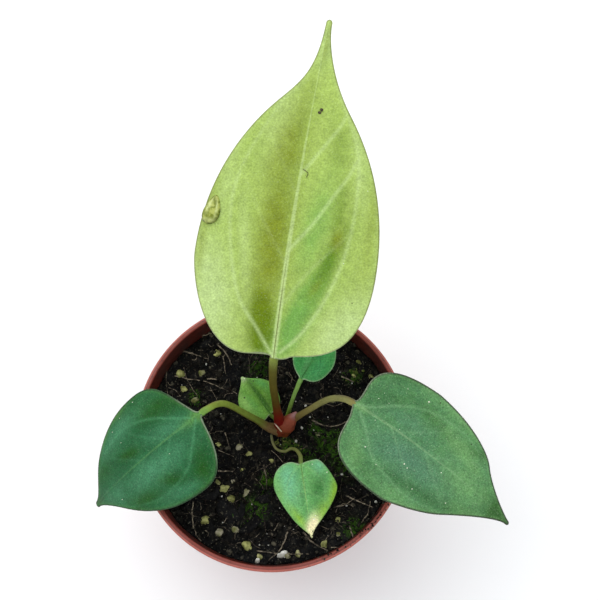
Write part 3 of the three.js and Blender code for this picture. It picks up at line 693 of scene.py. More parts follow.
def blade_mesh(name, settings):
    """Fine closed mesh of a blade with its veins in relief, and the fields that its finish reads."""
    leaf = LEAVES[name]
    rows, columns = leaf["rows"], leaf["columns"]
    shares = np.linspace(0, 1, rows + 1)
    margins = {hand: resample(margin_path(leaf, leaf[key]), shares) for hand, key in HANDS.items()}
    rib = leaf["length"] * shares ** 1.5
    steps = np.linspace(0, 1, columns + 1)
    outs = 0.65 * steps + 0.175 * (1 - np.cos(np.pi * steps))
    along = np.empty((rows + 1, 2 * columns + 1))
    across = np.empty_like(along)
    for j in range(-columns, columns + 1):
        margin = margins[-1 if j < 0 else 1]
        out = outs[abs(j)]
        along[:, columns + j] = rib + (margin[:, 0] - rib) * out
        across[:, columns + j] = np.sign(j) * margin[:, 1] * out
    along, across = along.ravel(), across.ravel()
    flat = np.column_stack([along, across])
    whole = np.concatenate([margins[1], (margins[-1] * (1, -1))[::-1]])
    outline = resample(whole, np.linspace(0, 1, OUTLINE_POINTS))
    edge, _ = least_distance(flat, outline)
    vein = np.zeros_like(along)
    width = VEIN_WIDTH + VEIN_GROWTH * leaf["length"]
    for hand in (1, -1):
        points, strengths = vein_points(name, hand)
        apart, nearest = least_distance(flat, points)
        vein = np.maximum(vein, strengths[nearest] * np.exp(-((apart / width) ** 2)) * (across * hand > -0.2))
    share = np.clip(along / leaf["length"], 0, 1)
    place, face = blade_places(leaf, along, across)
    fade = 1 - np.exp(-((edge / SWELL_MARGIN) ** 2))
    rib_line = np.exp(-((across / (0.2 + 0.4 * (1 - share))) ** 2))
    size = leaf["length"] / 100
    swell = ripple(along, across, 9 * size ** 0.5, 5) + 0.4 * ripple(along, across, 3, 6)
    swell *= leaf["swell"]
    top = settings.vein_depth * size ** 0.5 * (0.9 * rib_line - 1.0 * vein) + swell * fade
    rounded = np.sqrt(1 - (1 - np.clip(edge / EDGE_ROUND, 0, 1)) ** 2)
    half = (EDGE_THICKNESS + (BLADE_THICKNESS - EDGE_THICKNESS) * rounded) / 2
    keel = np.exp(-((across / (0.6 + 0.6 * size)) ** 2))
    ridge = 0.7 * size ** 0.5 * (1 - share) * keel + 0.25 * vein * size
    upper = place + face * (top + half)[:, None]
    under = place + face * (swell * fade - half - ridge)[:, None]
    count = len(along)
    width_count = 2 * columns + 1
    faces = grid_faces(rows + 1, width_count) + grid_faces(rows + 1, width_count, start=count, flip=True)
    for i in range(rows):
        first, last = i * width_count, (i + 1) * width_count - 1
        faces.append((first, first + width_count, count + first + width_count, count + first))
        faces.append((last + width_count, last, count + last, count + last + width_count))
    tip = rows * width_count
    for j in range(width_count - 1):
        faces.append((j + 1, j, count + j, count + j + 1))
        faces.append((tip + j, tip + j + 1, count + tip + j + 1, count + tip + j))
    fields = {"along": share, "across": across, "edge": edge, "vein": vein}
    for key in PATCH_KINDS:
        fields[key] = patch_field(PATCHES[name].get(key, []), along, across)
    attributes = {key: np.tile(values, 2) for key, values in fields.items()}
    attributes["under"] = np.repeat((0.0, 1.0), count)
    return np.concatenate([upper, under]), faces, attributes


def drop_mesh(middle, aside, reach, width, height):
    """Water drop that lies on the tall blade, pointed towards the tip: points, faces and the masks of its
    painted shade and painted highlights.
    """
    leaf = LEAVES["tall"]
    rows, columns = 28, 24
    t = -np.cos(np.linspace(0, np.pi, rows))[:, None]
    u = -np.cos(np.linspace(0, np.pi, columns))[None, :]
    half = width * np.sqrt(np.maximum(1 - t * t, 0)) * (1 - 0.38 * t)
    along = (middle + reach * t + 0 * u).ravel()
    across = (aside + 0.7 * t + half * u).ravel()
    place, face = blade_places(leaf, along, across)
    swell = (height * np.sqrt(np.maximum(1 - u * u, 0)) * half / width).ravel()
    level = 0.5 * BLADE_THICKNESS + 0.12
    upper = place + face * (level + swell)[:, None]
    under = place + face * level
    count = rows * columns
    faces = grid_faces(rows, columns) + grid_faces(rows, columns, start=count, flip=True)
    flat = (t * t + u * u * (1 - t * t)).ravel()
    # Masks for the painted shade at the drop's edge and for three painted highlights where light gathers in
    # it
    rim = np.clip((flat - 0.62) / 0.3, 0, 1) * (0.5 - 0.5 * t + 0 * u).ravel()
    painted_highlight = 1.3 * np.exp(-(((t - 0.3) / 0.5) ** 2) - ((u + 0.5) / 0.22) ** 2).ravel()
    painted_highlight = np.maximum(painted_highlight, np.exp(-(((t - 0.1) / 0.6) ** 2) - ((u - 0.6) / 0.12) ** 2).ravel())
    painted_highlight = np.maximum(painted_highlight, 0.9 * np.exp(-(((t + 0.7) / 0.14) ** 2) - (u / 0.7) ** 2).ravel())
    return np.concatenate([upper, under]), faces, {"rim": np.tile(rim, 2), "painted_highlight": np.tile(painted_highlight, 2)}


def ribbed(share, turn):
    """Section of the stem, with five low ribs that wind up it."""
    return 1 + 0.04 * np.sin(5 * turn + 14 * share)


def flattened(share, turn):
    """Section of the scale leaf, wider than it is deep."""
    return 1 + 0.16 * np.cos(2 * turn)


def stalk_mesh(name):
    """A leaf stalk that runs on below the midrib, so that the blade grows out of it."""
    leaf = LEAVES[name]
    path, places = smooth_path(leaf["stalk"], STALK_STEPS)
    radii = np.interp(places, range(len(leaf["girth"])), leaf["girth"])
    end = leaf["girth"][-1]
    ahead = np.linspace(0.2, RUN_ON * leaf["length"], STALK_STEPS)
    place, face = blade_places(leaf, ahead, 0 * ahead)
    sunk = end * (0.5 + 0.6 * np.clip(ahead / 3, 0, 1))
    path = np.concatenate([path, place - face * sunk[:, None]])
    radii = np.concatenate([radii, end * np.linspace(0.95, 0.35, STALK_STEPS)])
    for _ in range(3):
        path[1:-1] = (path[:-2] + 2 * path[1:-1] + path[2:]) / 4

    def section(share, turn):
        ribs = 0.015 * np.sin(7 * turn + 9 * share) + 0.02 * np.sin(3 * turn + 30 * share)
        return 1 + ribs - 0.12 * np.exp(-(((turn - np.pi / 2) / 0.45) ** 2)) * (share > 0.15)

    return tube(path, radii, STALK_SIDES, section)


# Soil


def pot_bore(height):
    """Inner radius of the pot at a height."""
    share = (height - FOOT_RECESS) / (POT_HEIGHT - FOOT_RECESS)
    low = FOOT_RADIUS - WALL
    return low + (RIM_RADIUS - LIP_WIDTH - low) * share


def soil_height(x, y):
    """Even height of the soil, as in the solid model."""
    reach = np.hypot(x, y) / RIM_RADIUS
    bearing = np.maximum(0, np.cos(np.arctan2(y, x) - math.radians(HEAP_BEARING)))
    heap = SOIL_HEAP * bearing ** 1.5 * reach ** 3
    mound = 1.2 * np.exp(-((x - 4) ** 2 + y ** 2) / 60)
    swell = 0.4 * np.sin(x * 0.21 + 1) * np.cos(y * 0.26) + 0.3 * np.sin(0.47 * y - 0.3 * x)
    return POT_HEIGHT - SOIL_DEPTH + heap + mound + swell


def disc_points(cells):
    """Square grid of points drawn out to a disc of radius 1."""
    line = np.linspace(-1, 1, cells + 1)
    a, b = np.meshgrid(line, line)
    wide = np.abs(a) > np.abs(b)
    safe_a, safe_b = np.where(a == 0, 1e-9, a), np.where(b == 0, 1e-9, b)
    reach = np.where(wide, a, b)
    turn = np.where(wide, np.pi / 4 * b / safe_a, np.pi / 2 - np.pi / 4 * a / safe_b)
    return reach * np.cos(turn), reach * np.sin(turn)


def soil_mesh(settings):
    """Crumbly top of the soil over a plain body that fills the pot, with a tone for every crumb."""
    x, y = disc_points(SOIL_CELLS)
    rim = pot_bore(POT_HEIGHT - SOIL_DEPTH + 1)
    x, y = x * rim, y * rim
    level = soil_height(x, y)
    drawn = (pot_bore(level) - 0.1) / rim
    reach = np.hypot(x, y) / rim
    stretch = 1 + (drawn - 1) * reach ** 6
    x, y = x * stretch, y * stretch
    lump = 0.35 * ripple(x, y, 2.6, 31) + 0.5 * np.abs(ripple(x, y, 1.1, 32)) - 1.0
    lump -= 0.25 * np.abs(ripple(x, y, 0.6, 33))
    tone = np.full_like(x, 0.1)
    bent_x = x + 0.5 * ripple(x, y, 1.2, 34) + 0.25 * ripple(x, y, 0.6, 35)
    bent_y = y + 0.5 * ripple(x, y, 1.2, 36) + 0.25 * ripple(x, y, 0.6, 37)
    rng = np.random.default_rng(settings.seed)
    for _ in range(settings.crumb_count):
        size = 0.4 + 1.7 * rng.random() ** 3
        cx, cy = random_place(rng, rim)
        long, lean, tint = 1 + 1.2 * rng.random() ** 2, rng.random() * np.pi, rng.random()
        near = np.nonzero((np.abs(x - cx) < 2.6 * size) & (np.abs(y - cy) < 2.6 * size))
        dx, dy = bent_x[near] - cx, bent_y[near] - cy
        u = (dx * math.cos(lean) + dy * math.sin(lean)) / long
        v = dy * math.cos(lean) - dx * math.sin(lean)
        inside = 1 - (u * u + v * v) / size ** 2
        tilt = 0.3 * rng.normal() * u + 0.3 * rng.normal() * v
        domed = 0.7 * size * np.clip(1.8 * inside, 0, 1) ** 0.6
        height = np.where(inside > 0, domed + tilt - 0.65 * size, -2)
        taller = height > lump[near]
        lump[near] = np.where(taller, height, lump[near])
        tone[near] = np.where(taller, tint, tone[near])
    lump = np.clip(lump + 0.12 * ripple(x, y, 0.5, 38), -1.4, 1.2)
    z = level + lump
    count = x.size
    top = np.column_stack([x.ravel(), y.ravel(), z.ravel()])
    faces = grid_faces(SOIL_CELLS + 1, SOIL_CELLS + 1)
    index = np.arange(count).reshape(SOIL_CELLS + 1, SOIL_CELLS + 1)
    border = np.concatenate([index[0, :-1], index[:-1, -1], index[-1, :0:-1], index[:0:-1, 0]])
    floor = FOOT_RECESS + FLOOR + 0.3
    turns = np.arctan2(top[border, 1], top[border, 0])
    low = pot_bore(floor) - 2.2
    foot = np.column_stack([low * np.cos(turns), low * np.sin(turns), np.full(len(border), floor)])
    middle = count + len(border)
    for i in range(len(border)):
        k = (i + 1) % len(border)
        faces.append((border[k], border[i], count + i, count + k))
        faces.append((middle, count + k, count + i))
    skirt = np.zeros(len(border) + 1)
    moss = sum(np.exp(-((x - a) ** 2 + (y - b) ** 2) / (0.5 * c) ** 2 / 2) for a, b, c in MOSS)
    fields = {
        "tone": np.concatenate([tone.ravel(), skirt + 0.3]),
        "moss": np.concatenate([moss.ravel(), skirt]),
    }
    return np.concatenate([top, foot, [(0, 0, floor)]]), faces, fields, (x, y, z)


def ground_finder(field):
    """Function that gives the crumbly soil's height at a place."""
    x, y, z = (values.ravel() for values in field)

    def ground(px, py):
        return z[np.argmin((x - px) ** 2 + (y - py) ** 2)]

    return ground


ICO = (1 + math.sqrt(5)) / 2
BALL_POINTS = unit(np.array([
    (-1, ICO, 0), (1, ICO, 0), (-1, -ICO, 0), (1, -ICO, 0), (0, -1, ICO), (0, 1, ICO),
    (0, -1, -ICO), (0, 1, -ICO), (ICO, 0, -1), (ICO, 0, 1), (-ICO, 0, -1), (-ICO, 0, 1),
], float))
BALL_FACES = [
    (0, 11, 5), (0, 5, 1), (0, 1, 7), (0, 7, 10), (0, 10, 11), (1, 5, 9), (5, 11, 4), (11, 10, 2),
    (10, 7, 6), (7, 1, 8), (3, 9, 4), (3, 4, 2), (3, 2, 6), (3, 6, 8), (3, 8, 9), (4, 9, 5), (2, 4, 11),
    (6, 2, 10), (8, 6, 7), (9, 8, 1),
]


def ball(levels):
    """Points and triangles of a round ball."""
    points, faces = [tuple(point) for point in BALL_POINTS], list(BALL_FACES)
    for _ in range(levels):
        middles, finer = {}, []

        def middle(i, j):
            key = (min(i, j), max(i, j))
            if key not in middles:
                middles[key] = len(points)
                points.append(tuple(unit(np.array(points[i]) + np.array(points[j]))))
            return middles[key]

        for a, b, c in faces:
            ab, bc, ca = middle(a, b), middle(b, c), middle(c, a)
            finer += [(a, ab, ca), (b, bc, ab), (c, ca, bc), (ab, bc, ca)]
        faces = finer
    return np.array(points), faces


BALLS = [ball(levels) for levels in range(4)]


def random_place(rng, reach):
    """Place drawn evenly from a disc."""
    turn, out = rng.random() * 2 * np.pi, reach * math.sqrt(rng.random())
    return out * math.cos(turn), out * math.sin(turn)


def pebble(rng, place, size, levels=1, flat=0.8, rough=0.25):
    """A lump with knobs and dents, turned at random."""
    points, faces = BALLS[levels]
    waves = unit(rng.normal(size=(6, 3))) * rng.uniform(1.5, 6, (6, 1))
    knobs = 1 + rough * np.sin(points @ waves.T + rng.uniform(0, 6, 6)).mean(1)
    spin = np.linalg.qr(rng.normal(size=(3, 3)))[0]
    if np.linalg.det(spin) < 0:
        spin[:, 0] *= -1
    stretch = np.array((1 + 0.3 * rng.random(), 1, 0.75 + 0.25 * rng.random()))
    shaped = (points * knobs[:, None] * stretch) @ spin.T * (1, 1, flat)
    return shaped * size + np.array(place), faces


def slab(rng, place, length, width, thick, bearing):
    """A thin broken flake with a ragged outline and an uneven face."""
    count = 14
    turns = np.linspace(0, 2 * np.pi, count, endpoint=False)
    ragged = 1 + 0.18 * rng.normal(size=count)
    heading = math.radians(bearing)
    tilt_x, tilt_y = 0.12 * rng.normal(), 0.12 * rng.normal()
    rings = []
    for scale, height in ((0.96, 0.0), (1.0, 0.6), (0.93, 1.0), (0.5, 1.0)):
        u = np.sign(np.cos(turns)) * np.abs(np.cos(turns)) ** 0.7 * ragged * scale * length / 2
        v = np.sign(np.sin(turns)) * np.abs(np.sin(turns)) ** 0.7 * ragged * scale * width / 2
        uneven = 0.15 * thick * rng.normal(size=count) if height == 1 else 0
        z = height * thick + tilt_x * u + tilt_y * v + uneven
        x = u * math.cos(heading) - v * math.sin(heading)
        y = u * math.sin(heading) + v * math.cos(heading)
        rings.append(np.column_stack([x, y, z + 0 * u]))
    faces = grid_faces(4, count, wrap=True)
    faces += [tuple(range(count))[::-1], tuple(3 * count + k for k in range(count))]
    return np.concatenate(rings) + np.array(place), faces


# Shader building


def add_node(tree, kind, inputs=None, **settings):
    """A node with its settings, and a value or a link on each named input."""
    made = tree.nodes.new(kind)
    for name, value in settings.items():
        setattr(made, name, value)
    for name, value in (inputs or {}).items():
        feed(tree, value, made.inputs[name])
    return made


def feed(tree, value, socket):
    """Links an output to a socket, or writes a plain value or a colour's hex digits on it."""
    if isinstance(value, str):
        value = linear(value)
    if isinstance(value, bpy.types.NodeSocket):
        tree.links.new(value, socket)
    elif socket.type == "RGBA" and len(value) == 3:
        socket.default_value = (*value, 1)
    else:
        socket.default_value = value


def blend_colours(tree, factor, first, second, kind="MIX"):
    """Colour between two others, by a factor."""
    node = add_node(tree, "ShaderNodeMix", data_type="RGBA", blend_type=kind)
    for value, index in ((factor, 0), (first, 6), (second, 7)):
        feed(tree, value, node.inputs[index])
    return node.outputs[2]


def calculate(tree, operation, first, second=0.0, clamp=False):
    """Result of one step of arithmetic."""
    node = add_node(tree, "ShaderNodeMath", operation=operation, use_clamp=clamp)
    feed(tree, first, node.inputs[0])
    feed(tree, second, node.inputs[1])
    return node.outputs[0]


def spread(tree, value, low, high, start=0.0, end=1.0):
    """Value between low and high drawn out smoothly to start and end."""
    inputs = {"Value": value, "From Min": low, "From Max": high, "To Min": start, "To Max": end}
    return add_node(tree, "ShaderNodeMapRange", inputs, interpolation_type="SMOOTHSTEP").outputs[0]


def field(tree, name):
    """Value that the mesh carries under a name."""
    return add_node(tree, "ShaderNodeAttribute", attribute_name=name).outputs["Fac"]


def place_input(tree):
    """Place in the piece's own frame, in metres."""
    return add_node(tree, "ShaderNodeTexCoord").outputs["Object"]


def noise_value(tree, scale, detail=3.0, rough=0.5):
    """Even noise through the piece."""
    inputs = {"Vector": place_input(tree), "Scale": scale, "Detail": detail, "Roughness": rough}
    return add_node(tree, "ShaderNodeTexNoise", inputs).outputs["Fac"]


def new_group(name, inputs, outputs):
    """An empty shader group with its sockets; returns the tree, its input node and its output node."""
    group = bpy.data.node_groups.new(name, "ShaderNodeTree")
    for label, value in inputs:
        kind = "NodeSocketColor" if isinstance(value, tuple) else "NodeSocketFloat"
        socket = group.interface.new_socket(name=label, in_out="INPUT", socket_type=kind)
        socket.default_value = (*value, 1) if isinstance(value, tuple) else value
    for label, kind in outputs:
        group.interface.new_socket(name=label, in_out="OUTPUT", socket_type=kind)
    return group, group.nodes.new("NodeGroupInput"), group.nodes.new("NodeGroupOutput")


def grain_group():
    """Fine velvety grain and broad mottling: a shade to multiply a colour by, and a height."""
    if "fine grain" in bpy.data.node_groups:
        return bpy.data.node_groups["fine grain"]
    inputs = [("Fine Scale", 2400.0), ("Broad Scale", 160.0), ("Fine", 0.2), ("Broad", 0.15)]
    outputs = [("Shade", "NodeSocketFloat"), ("Height", "NodeSocketFloat")]
    group, given, out = new_group("fine grain", inputs, outputs)
    place = place_input(group)
    noises = {}
    shade = 1.0
    for size, detail in (("Fine", 2.0), ("Broad", 4.0)):
        values = {"Vector": place, "Scale": given.outputs[f"{size} Scale"], "Detail": detail}
        noises[size] = add_node(group, "ShaderNodeTexNoise", values).outputs["Fac"]
        centred = calculate(group, "SUBTRACT", noises[size], 0.5)
        doubled = calculate(group, "MULTIPLY", centred, 2.0)
        part = calculate(group, "MULTIPLY", doubled, given.outputs[size])
        shade = calculate(group, "ADD", part, shade)
    feed(group, shade, out.inputs["Shade"])
    feed(group, noises["Fine"], out.inputs["Height"])
    return group


def use_group(tree, group, **values):
    """A group in a material with values on its sockets; an underscore stands for a space."""
    node = add_node(tree, "ShaderNodeGroup", node_tree=group)
    for name, value in values.items():
        feed(tree, value, node.inputs[name.replace("_", " ")])
    return node


def new_material(name):
    """Material with its shader node ready."""
    material = bpy.data.materials.new(name)
    material.use_nodes = True
    tree = material.node_tree
    return material, tree, tree.nodes["Principled BSDF"]


def shaded(tree, colour, shade):
    """Colour made lighter or darker by a shade round 1."""
    grey = add_node(tree, "ShaderNodeCombineColor", {"Red": shade, "Green": shade, "Blue": shade})
    return blend_colours(tree, 1.0, colour, grey.outputs[0], "MULTIPLY")


def tint(tree, colour, other, *masks):
    """Colour drawn towards another one as far as the product of the masks says."""
    amount = masks[0]
    for mask in masks[1:]:
        amount = calculate(tree, "MULTIPLY", amount, mask, clamp=True)
    return blend_colours(tree, amount, colour, other)


def finish_surface(tree, shader, colour, scales, strengths, bump, rough, shine):
    """Grain of two scales over a colour, its relief as distance and strength, roughness and shine."""
    values = {"Fine_Scale": scales[0], "Broad_Scale": scales[1], "Fine": strengths[0], "Broad": strengths[1]}
    grain = use_group(tree, grain_group(), **values)
    feed(tree, shaded(tree, colour, grain.outputs["Shade"]), shader.inputs["Base Color"])
    inputs = {"Height": grain.outputs["Height"], "Distance": bump[0], "Strength": bump[1]}
    feed(tree, add_node(tree, "ShaderNodeBump", inputs).outputs["Normal"], shader.inputs["Normal"])
    feed(tree, rough, shader.inputs["Roughness"])
    shader.inputs["Specular IOR Level"].default_value = shine


# Materials


def blade_material(name, tones, settings):
    """Leaf blade: base colours, patches of painted shade, sheen and light and of its own brown and dead
    parts, veins, midrib, a margin with painted highlights along it and at the stalk, painted glints, velvety
    grain and a paler underside.
    """
    material, tree, shader = new_material(name)
    across, along, edge = field(tree, "across"), field(tree, "along"), field(tree, "edge")
    mottle = spread(tree, noise_value(tree, 150.0, 8.0, 0.75), 0.35, 0.65)
    colour = blend_colours(tree, mottle, tones["base"], tones["second"])
    uneven = spread(tree, noise_value(tree, 260.0, 5.0, 0.65), 0.35, 0.65, 0.8, 1.1)
    # Dark patches: painted shade with a darker tone; bluish ones: painted sheen; pale ones: painted light
    # with a paler tone
    for key in PATCH_KINDS:
        colour = tint(tree, colour, tones[key], field(tree, key), uneven)
    colour = tint(tree, colour, tones["vein"], field(tree, "vein"), tones["vein_show"])
    off = calculate(tree, "ABSOLUTE", across)
    rib_half = spread(tree, along, 0.0, 1.0, tones["rib_half"], 0.1)
    rib = spread(tree, calculate(tree, "DIVIDE", off, rib_half), 0.5, 1.5, 1.0, 0.0)
    fading = spread(tree, along, 0.15, 0.95, tones["rib_show"], 0.3 * tones["rib_show"])
    colour = tint(tree, colour, tones["rib"], rib, fading)
    line, near_base = spread(tree, off, 0.08, 0.3, 1.0, 0.0), spread(tree, along, 0.1, 0.42, 1.0, 0.0)
    colour = tint(tree, colour, tones["line"], line, near_base, tones["line_show"])
    # Paler band inside the margin: partly the leaf's own colour, partly painted highlight
    pale_edge = spread(tree, edge, 0.3, 1.8, 1.0, 0.0)
    colour = tint(tree, colour, tones["pale"], pale_edge, tones["rim_show"])
    dark_edge = spread(tree, edge, 0.2, tones["edge_reach"], 1.0, 0.0)
    colour = tint(tree, colour, tones["edge"], dark_edge, tones["edge_show"])
    # Pale rim where the blade joins its stalk: painted highlight
    fillet_edge, at_stalk = spread(tree, edge, 0.1, 0.5, 0.45, 0.0), spread(tree, along, 0.02, 0.12, 1.0, 0.0)
    colour = tint(tree, colour, "a0aa90", fillet_edge, at_stalk)
    sparkle = spread(tree, noise_value(tree, 3200.0, 2.0), 0.55, 0.75)
    colour = tint(tree, colour, "d4e4c0", sparkle, tones["sparkle"])
    colour = tint(tree, colour, tones["under"], field(tree, "under"), 0.7)
    strengths = (tones["grain"], 0.25)
    finish_surface(
        tree, shader, colour, (1900.0, 420.0), strengths, (0.00012, 0.6), settings.roughness, tones["shine"]
    )
    return material


def stalk_material(name, codes, fade=STALK_FADE):
    """Leaf stalk: colour changes from its foot to the blade, a painted shade on its lower side, and fine
    streaks.
    """
    foot, low, high, top, shaded_side = codes
    material, tree, shader = new_material(name)
    share, upper = field(tree, "share"), field(tree, "upper")
    colour = blend_colours(tree, spread(tree, share, *fade), foot, low)
    colour = tint(tree, colour, high, spread(tree, share, fade[0] + 0.1, fade[1] + 0.35))
    colour = tint(tree, colour, top, spread(tree, share, 0.75, 0.95))
    # Darker lower side: painted shade
    lower, beyond = spread(tree, upper, -0.5, 0.9, 0.75, 0.0), spread(tree, share, *fade, 0.2, 0.9)
    colour = tint(tree, colour, shaded_side, lower, beyond)
    finish_surface(tree, shader, colour, (1500.0, 400.0), (0.25, 0.3), (0.00008, 0.4), 0.5, 0.12)
    return material


def pot_material(settings):
    """Terracotta-coloured plastic: lip top paler as a painted highlight, painted shade in its fine groove, on
    its inner side and down the inside, with stains and specks.
    """
    material, tree, shader = new_material("pot plastic")
    height = add_node(tree, "ShaderNodeSeparateXYZ", {"Vector": place_input(tree)}).outputs["Z"]
    inside = field(tree, "inside")
    lip = spread(tree, height, (POT_HEIGHT - 1.0) * MM, (POT_HEIGHT - 0.2) * MM)
    stain = spread(tree, noise_value(tree, 120.0, 5.0, 0.6), 0.42, 0.62)
    specks = spread(tree, noise_value(tree, 900.0, 2.0, 0.5), 0.62, 0.7)
    # Top of the lip paler: painted highlight where it faces the light
    colour = tint(tree, tuple(settings.colour), "a85c50", lip, 0.75)
    # Inner half of the lip and the inside darker red: painted shade
    colour = tint(tree, colour, "6a2216", spread(tree, field(tree, "inner_lip"), 0.1, 0.9), 0.8)
    # Dark line in the fine groove: painted shade
    colour = tint(tree, colour, "521c16", spread(tree, field(tree, "groove"), 0.2, 0.8), 0.8)
    # Inside below the lip darker still: painted shade
    colour = tint(tree, colour, "4a1a12", inside, spread(tree, lip, 0.0, 0.9, 1.0, 0.0))
    # Near-black on the inside wall, deepening towards the soil: painted shade, in blotches set by the stains
    deep_shade = spread(tree, height, (POT_HEIGHT - 8.0) * MM, (POT_HEIGHT - 1.5) * MM, 1.0, 0.35)
    colour = tint(tree, colour, "120a08", deep_shade, inside, stain)
    colour = tint(tree, colour, "5a3226", stain, 0.1)
    colour = tint(tree, colour, "2a1812", specks, 0.5)
    rough = spread(tree, stain, 0.0, 1.0, 0.42, 0.6)
    finish_surface(tree, shader, colour, (1600.0, 150.0), (0.2, 0.1), (0.00005, 0.3), rough, 0.35)
    return material


def soil_material(name, dark, light, moss_show=0.0):
    """Damp peat: a tone for each crumb, brown flecks, and moss where a field says so."""
    material, tree, shader = new_material(name)
    colour = blend_colours(tree, spread(tree, field(tree, "tone"), 0.55, 1.1), dark, light)
    brown = spread(tree, noise_value(tree, 520.0, 4.0, 0.6), 0.56, 0.7)
    colour = tint(tree, colour, "29241b", brown, 0.35)
    # Near-black gaps between the crumbs: painted shade
    gaps = spread(tree, noise_value(tree, 800.0, 3.0, 0.6), 0.42, 0.54, 0.75, 0.0)
    colour = tint(tree, colour, "020202", gaps)
    flecks = spread(tree, noise_value(tree, 1700.0, 2.0), 0.64, 0.7, 0.0, 0.55)
    colour = tint(tree, colour, "6c6858", flecks)
    # Broad bluish tint: painted sheen on the damp peat
    bluish_sheen = spread(tree, noise_value(tree, 60.0, 3.0), 0.5, 0.7)
    colour = tint(tree, colour, "101318", bluish_sheen, 0.3)
    if moss_show:
        patchy = spread(tree, noise_value(tree, 420.0, 4.0, 0.6), 0.4, 0.62)
        colour = tint(tree, colour, "32520e", field(tree, "moss"), patchy, moss_show)
    rough = spread(tree, noise_value(tree, 300.0), 0.35, 0.6, 0.45, 0.9)
    finish_surface(tree, shader, colour, (2600.0, 900.0), (1.0, 0.9), (0.0004, 1.0), rough, 0.12)
    return material


def plain_material(name, first, second, rough=0.6, scale=500.0, shine=0.3, other=None):
    """Two tones mottled together with fine grain; some of the lumps may take another first tone."""
    material, tree, shader = new_material(name)
    if other:
        first = blend_colours(tree, spread(tree, field(tree, "tone"), 0.4, 0.8), first, other)
    colour = blend_colours(tree, spread(tree, noise_value(tree, scale, 3.0), 0.35, 0.65), first, second)
    finish_surface(tree, shader, colour, (3000.0, 700.0), (0.3, 0.5), (0.0001, 0.5), rough, shine)
    return material


def water_material():
    """Water on a leaf: it shows the leaf's tone painted in, with painted shade at the rim and painted
    highlights where light gathers in it.
    """
    material, tree, shader = new_material("water")
    wavy = spread(tree, noise_value(tree, 900.0), 0.4, 0.6, 0.5, 1.2)
    clear = spread(tree, noise_value(tree, 600.0, 2.0), 0.4, 0.62)
    # The drop's colour is the leaf seen through the water, painted in
    colour = blend_colours(tree, clear, "7c8824", "c0c866")
    colour = tint(tree, colour, "4c5612", field(tree, "rim"), wavy)
    colour = tint(tree, colour, "dce69a", field(tree, "painted_highlight"), wavy)
    feed(tree, colour, shader.inputs["Base Color"])
    feed(tree, spread(tree, wavy, 0.5, 1.2, 0.03, 0.07), shader.inputs["Roughness"])
    shader.inputs["Transmission Weight"].default_value = 0.3
    shader.inputs["IOR"].default_value = 1.33
    return material


# Tones of the blades in the order of LEAVES, the dark, bluish and pale ones painted shade, sheen and light,
# the pale also the margin's painted highlight; then numbers: how much each mark shows, the midrib's half
# width, grain, shine, fine sparkle and the reach of the dark margin
BLADE_TONES = {
    "base": ("9ab158", "46764c", "18502a", "5ea05a", "628e30", "358440"),
    "second": ("94ac54", "4f804c", "245c34", "66a458", "528228", "429048"),
    "dark": ("567006", "285420", "184a10", "2c6a28", "325c14", "226028"),
    "bluish_sheen": ("6b9a45", "4b7658", "3e7854", "6aae80", "52964c", "4a9660"),
    "pale": ("acc27c", "6e9c5e", "5c8a3c", "7ea82c", "86ac5c", "6ca46c"),
    "brown": ("74801c", "5a6a44", "4a5a34", "7a5c3c", "5a6a3c", "5a6a3c"),
    "dead": ("b9b18b", "b9b18b", "b9b18b", "efe3b4", "c2cfa4", "b8ccaa"),
    "vein": ("bfd494", "78a474", "4c8c60", "8cbc74", "74a44c", "5a9c54"),
    "rib": ("bcd090", "84a878", "54864c", "90b868", "467824", "448840"),
    "line": ("646a34", "557c50", "3c6c3c", "3c7030", "224c14", "205024"),
    "edge": ("54442e", "281e22", "1c201a", "628848", "6c8c48", "94b084"),
    "under": ("a8b878", "6d9468", "5d8560", "86ac72", "7c9c64", "74986c"),
    "vein_show": (0.5, 0.5, 0.5, 0.4, 0.3, 0.35),
    "rib_half": (0.8, 0.4, 0.4, 0.3, 0.25, 0.25),
    "rib_show": (0.6, 0.4, 0.4, 0.5, 0.5, 0.5),
    "line_show": (0.75, 0.2, 0.1, 0.7, 0.8, 0.7),
    "rim_show": (0.2, 0.3, 0.15, 0.1, 0.1, 0.1),
    "edge_show": (0.45, 0.8, 0.6, 0.3, 0.3, 0.45),
    "grain": (0.45, 0.65, 0.65, 0.65, 0.6, 0.7),
    "shine": (0.06, 0.12, 0.12, 0.25, 0.15, 0.15),
    "sparkle": (0.15, 0.2, 0.08, 0.15, 0.1, 0.1),
    "edge_reach": (0.55, 0.85, 0.7, 0.5, 0.5, 0.5),
}

# Tones of each stalk: foot, low, high, top and the painted shade of its lower side
STALK_TONES = {
    "tall": ("680e0a", "46340a", "545016", "88a04a", "3a220a"),
    # The right stalk's top tone is lighter in part as a painted highlight on its bend
    "right": ("743c24", "6c6034", "7e7c4a", "867c48", "4c3c20"),
    "left": ("6c5636", "62702a", "728230", "6c9c4a", "5a3a1c"),
    "front": ("66664a", "82845a", "8a9650", "74a04c", "56542e"),
    "back_left": ("5c6c30", "66803c", "6c8c40", "5c8838", "4c5c24"),
    "back_right": ("5a6c20", "667f30", "74964a", "6ca058", "4c6420"),
}
# Tones of the stem and the scale leaf in the same order, the last the painted shade of the lower side
STEM_TONES = ("64401c", "6c3e20", "6a3418", "642816", "5c3418")
SCALE_LEAF_TONES = ("6e3418", "76381e", "80402e", "926c6a", "602810")


# Settings


class PotSettings(bpy.types.PropertyGroup):
    colour: FloatVectorProperty(
        name="Colour", description="Colour of the pot's plastic",
        subtype="COLOR", default=linear("9c4a3c"), min=0, max=1,
    )
    groove: FloatProperty(
        name="Lip groove", description="Depth of the fine groove round the lip",
        default=0.12 * MM, unit="LENGTH",
    )


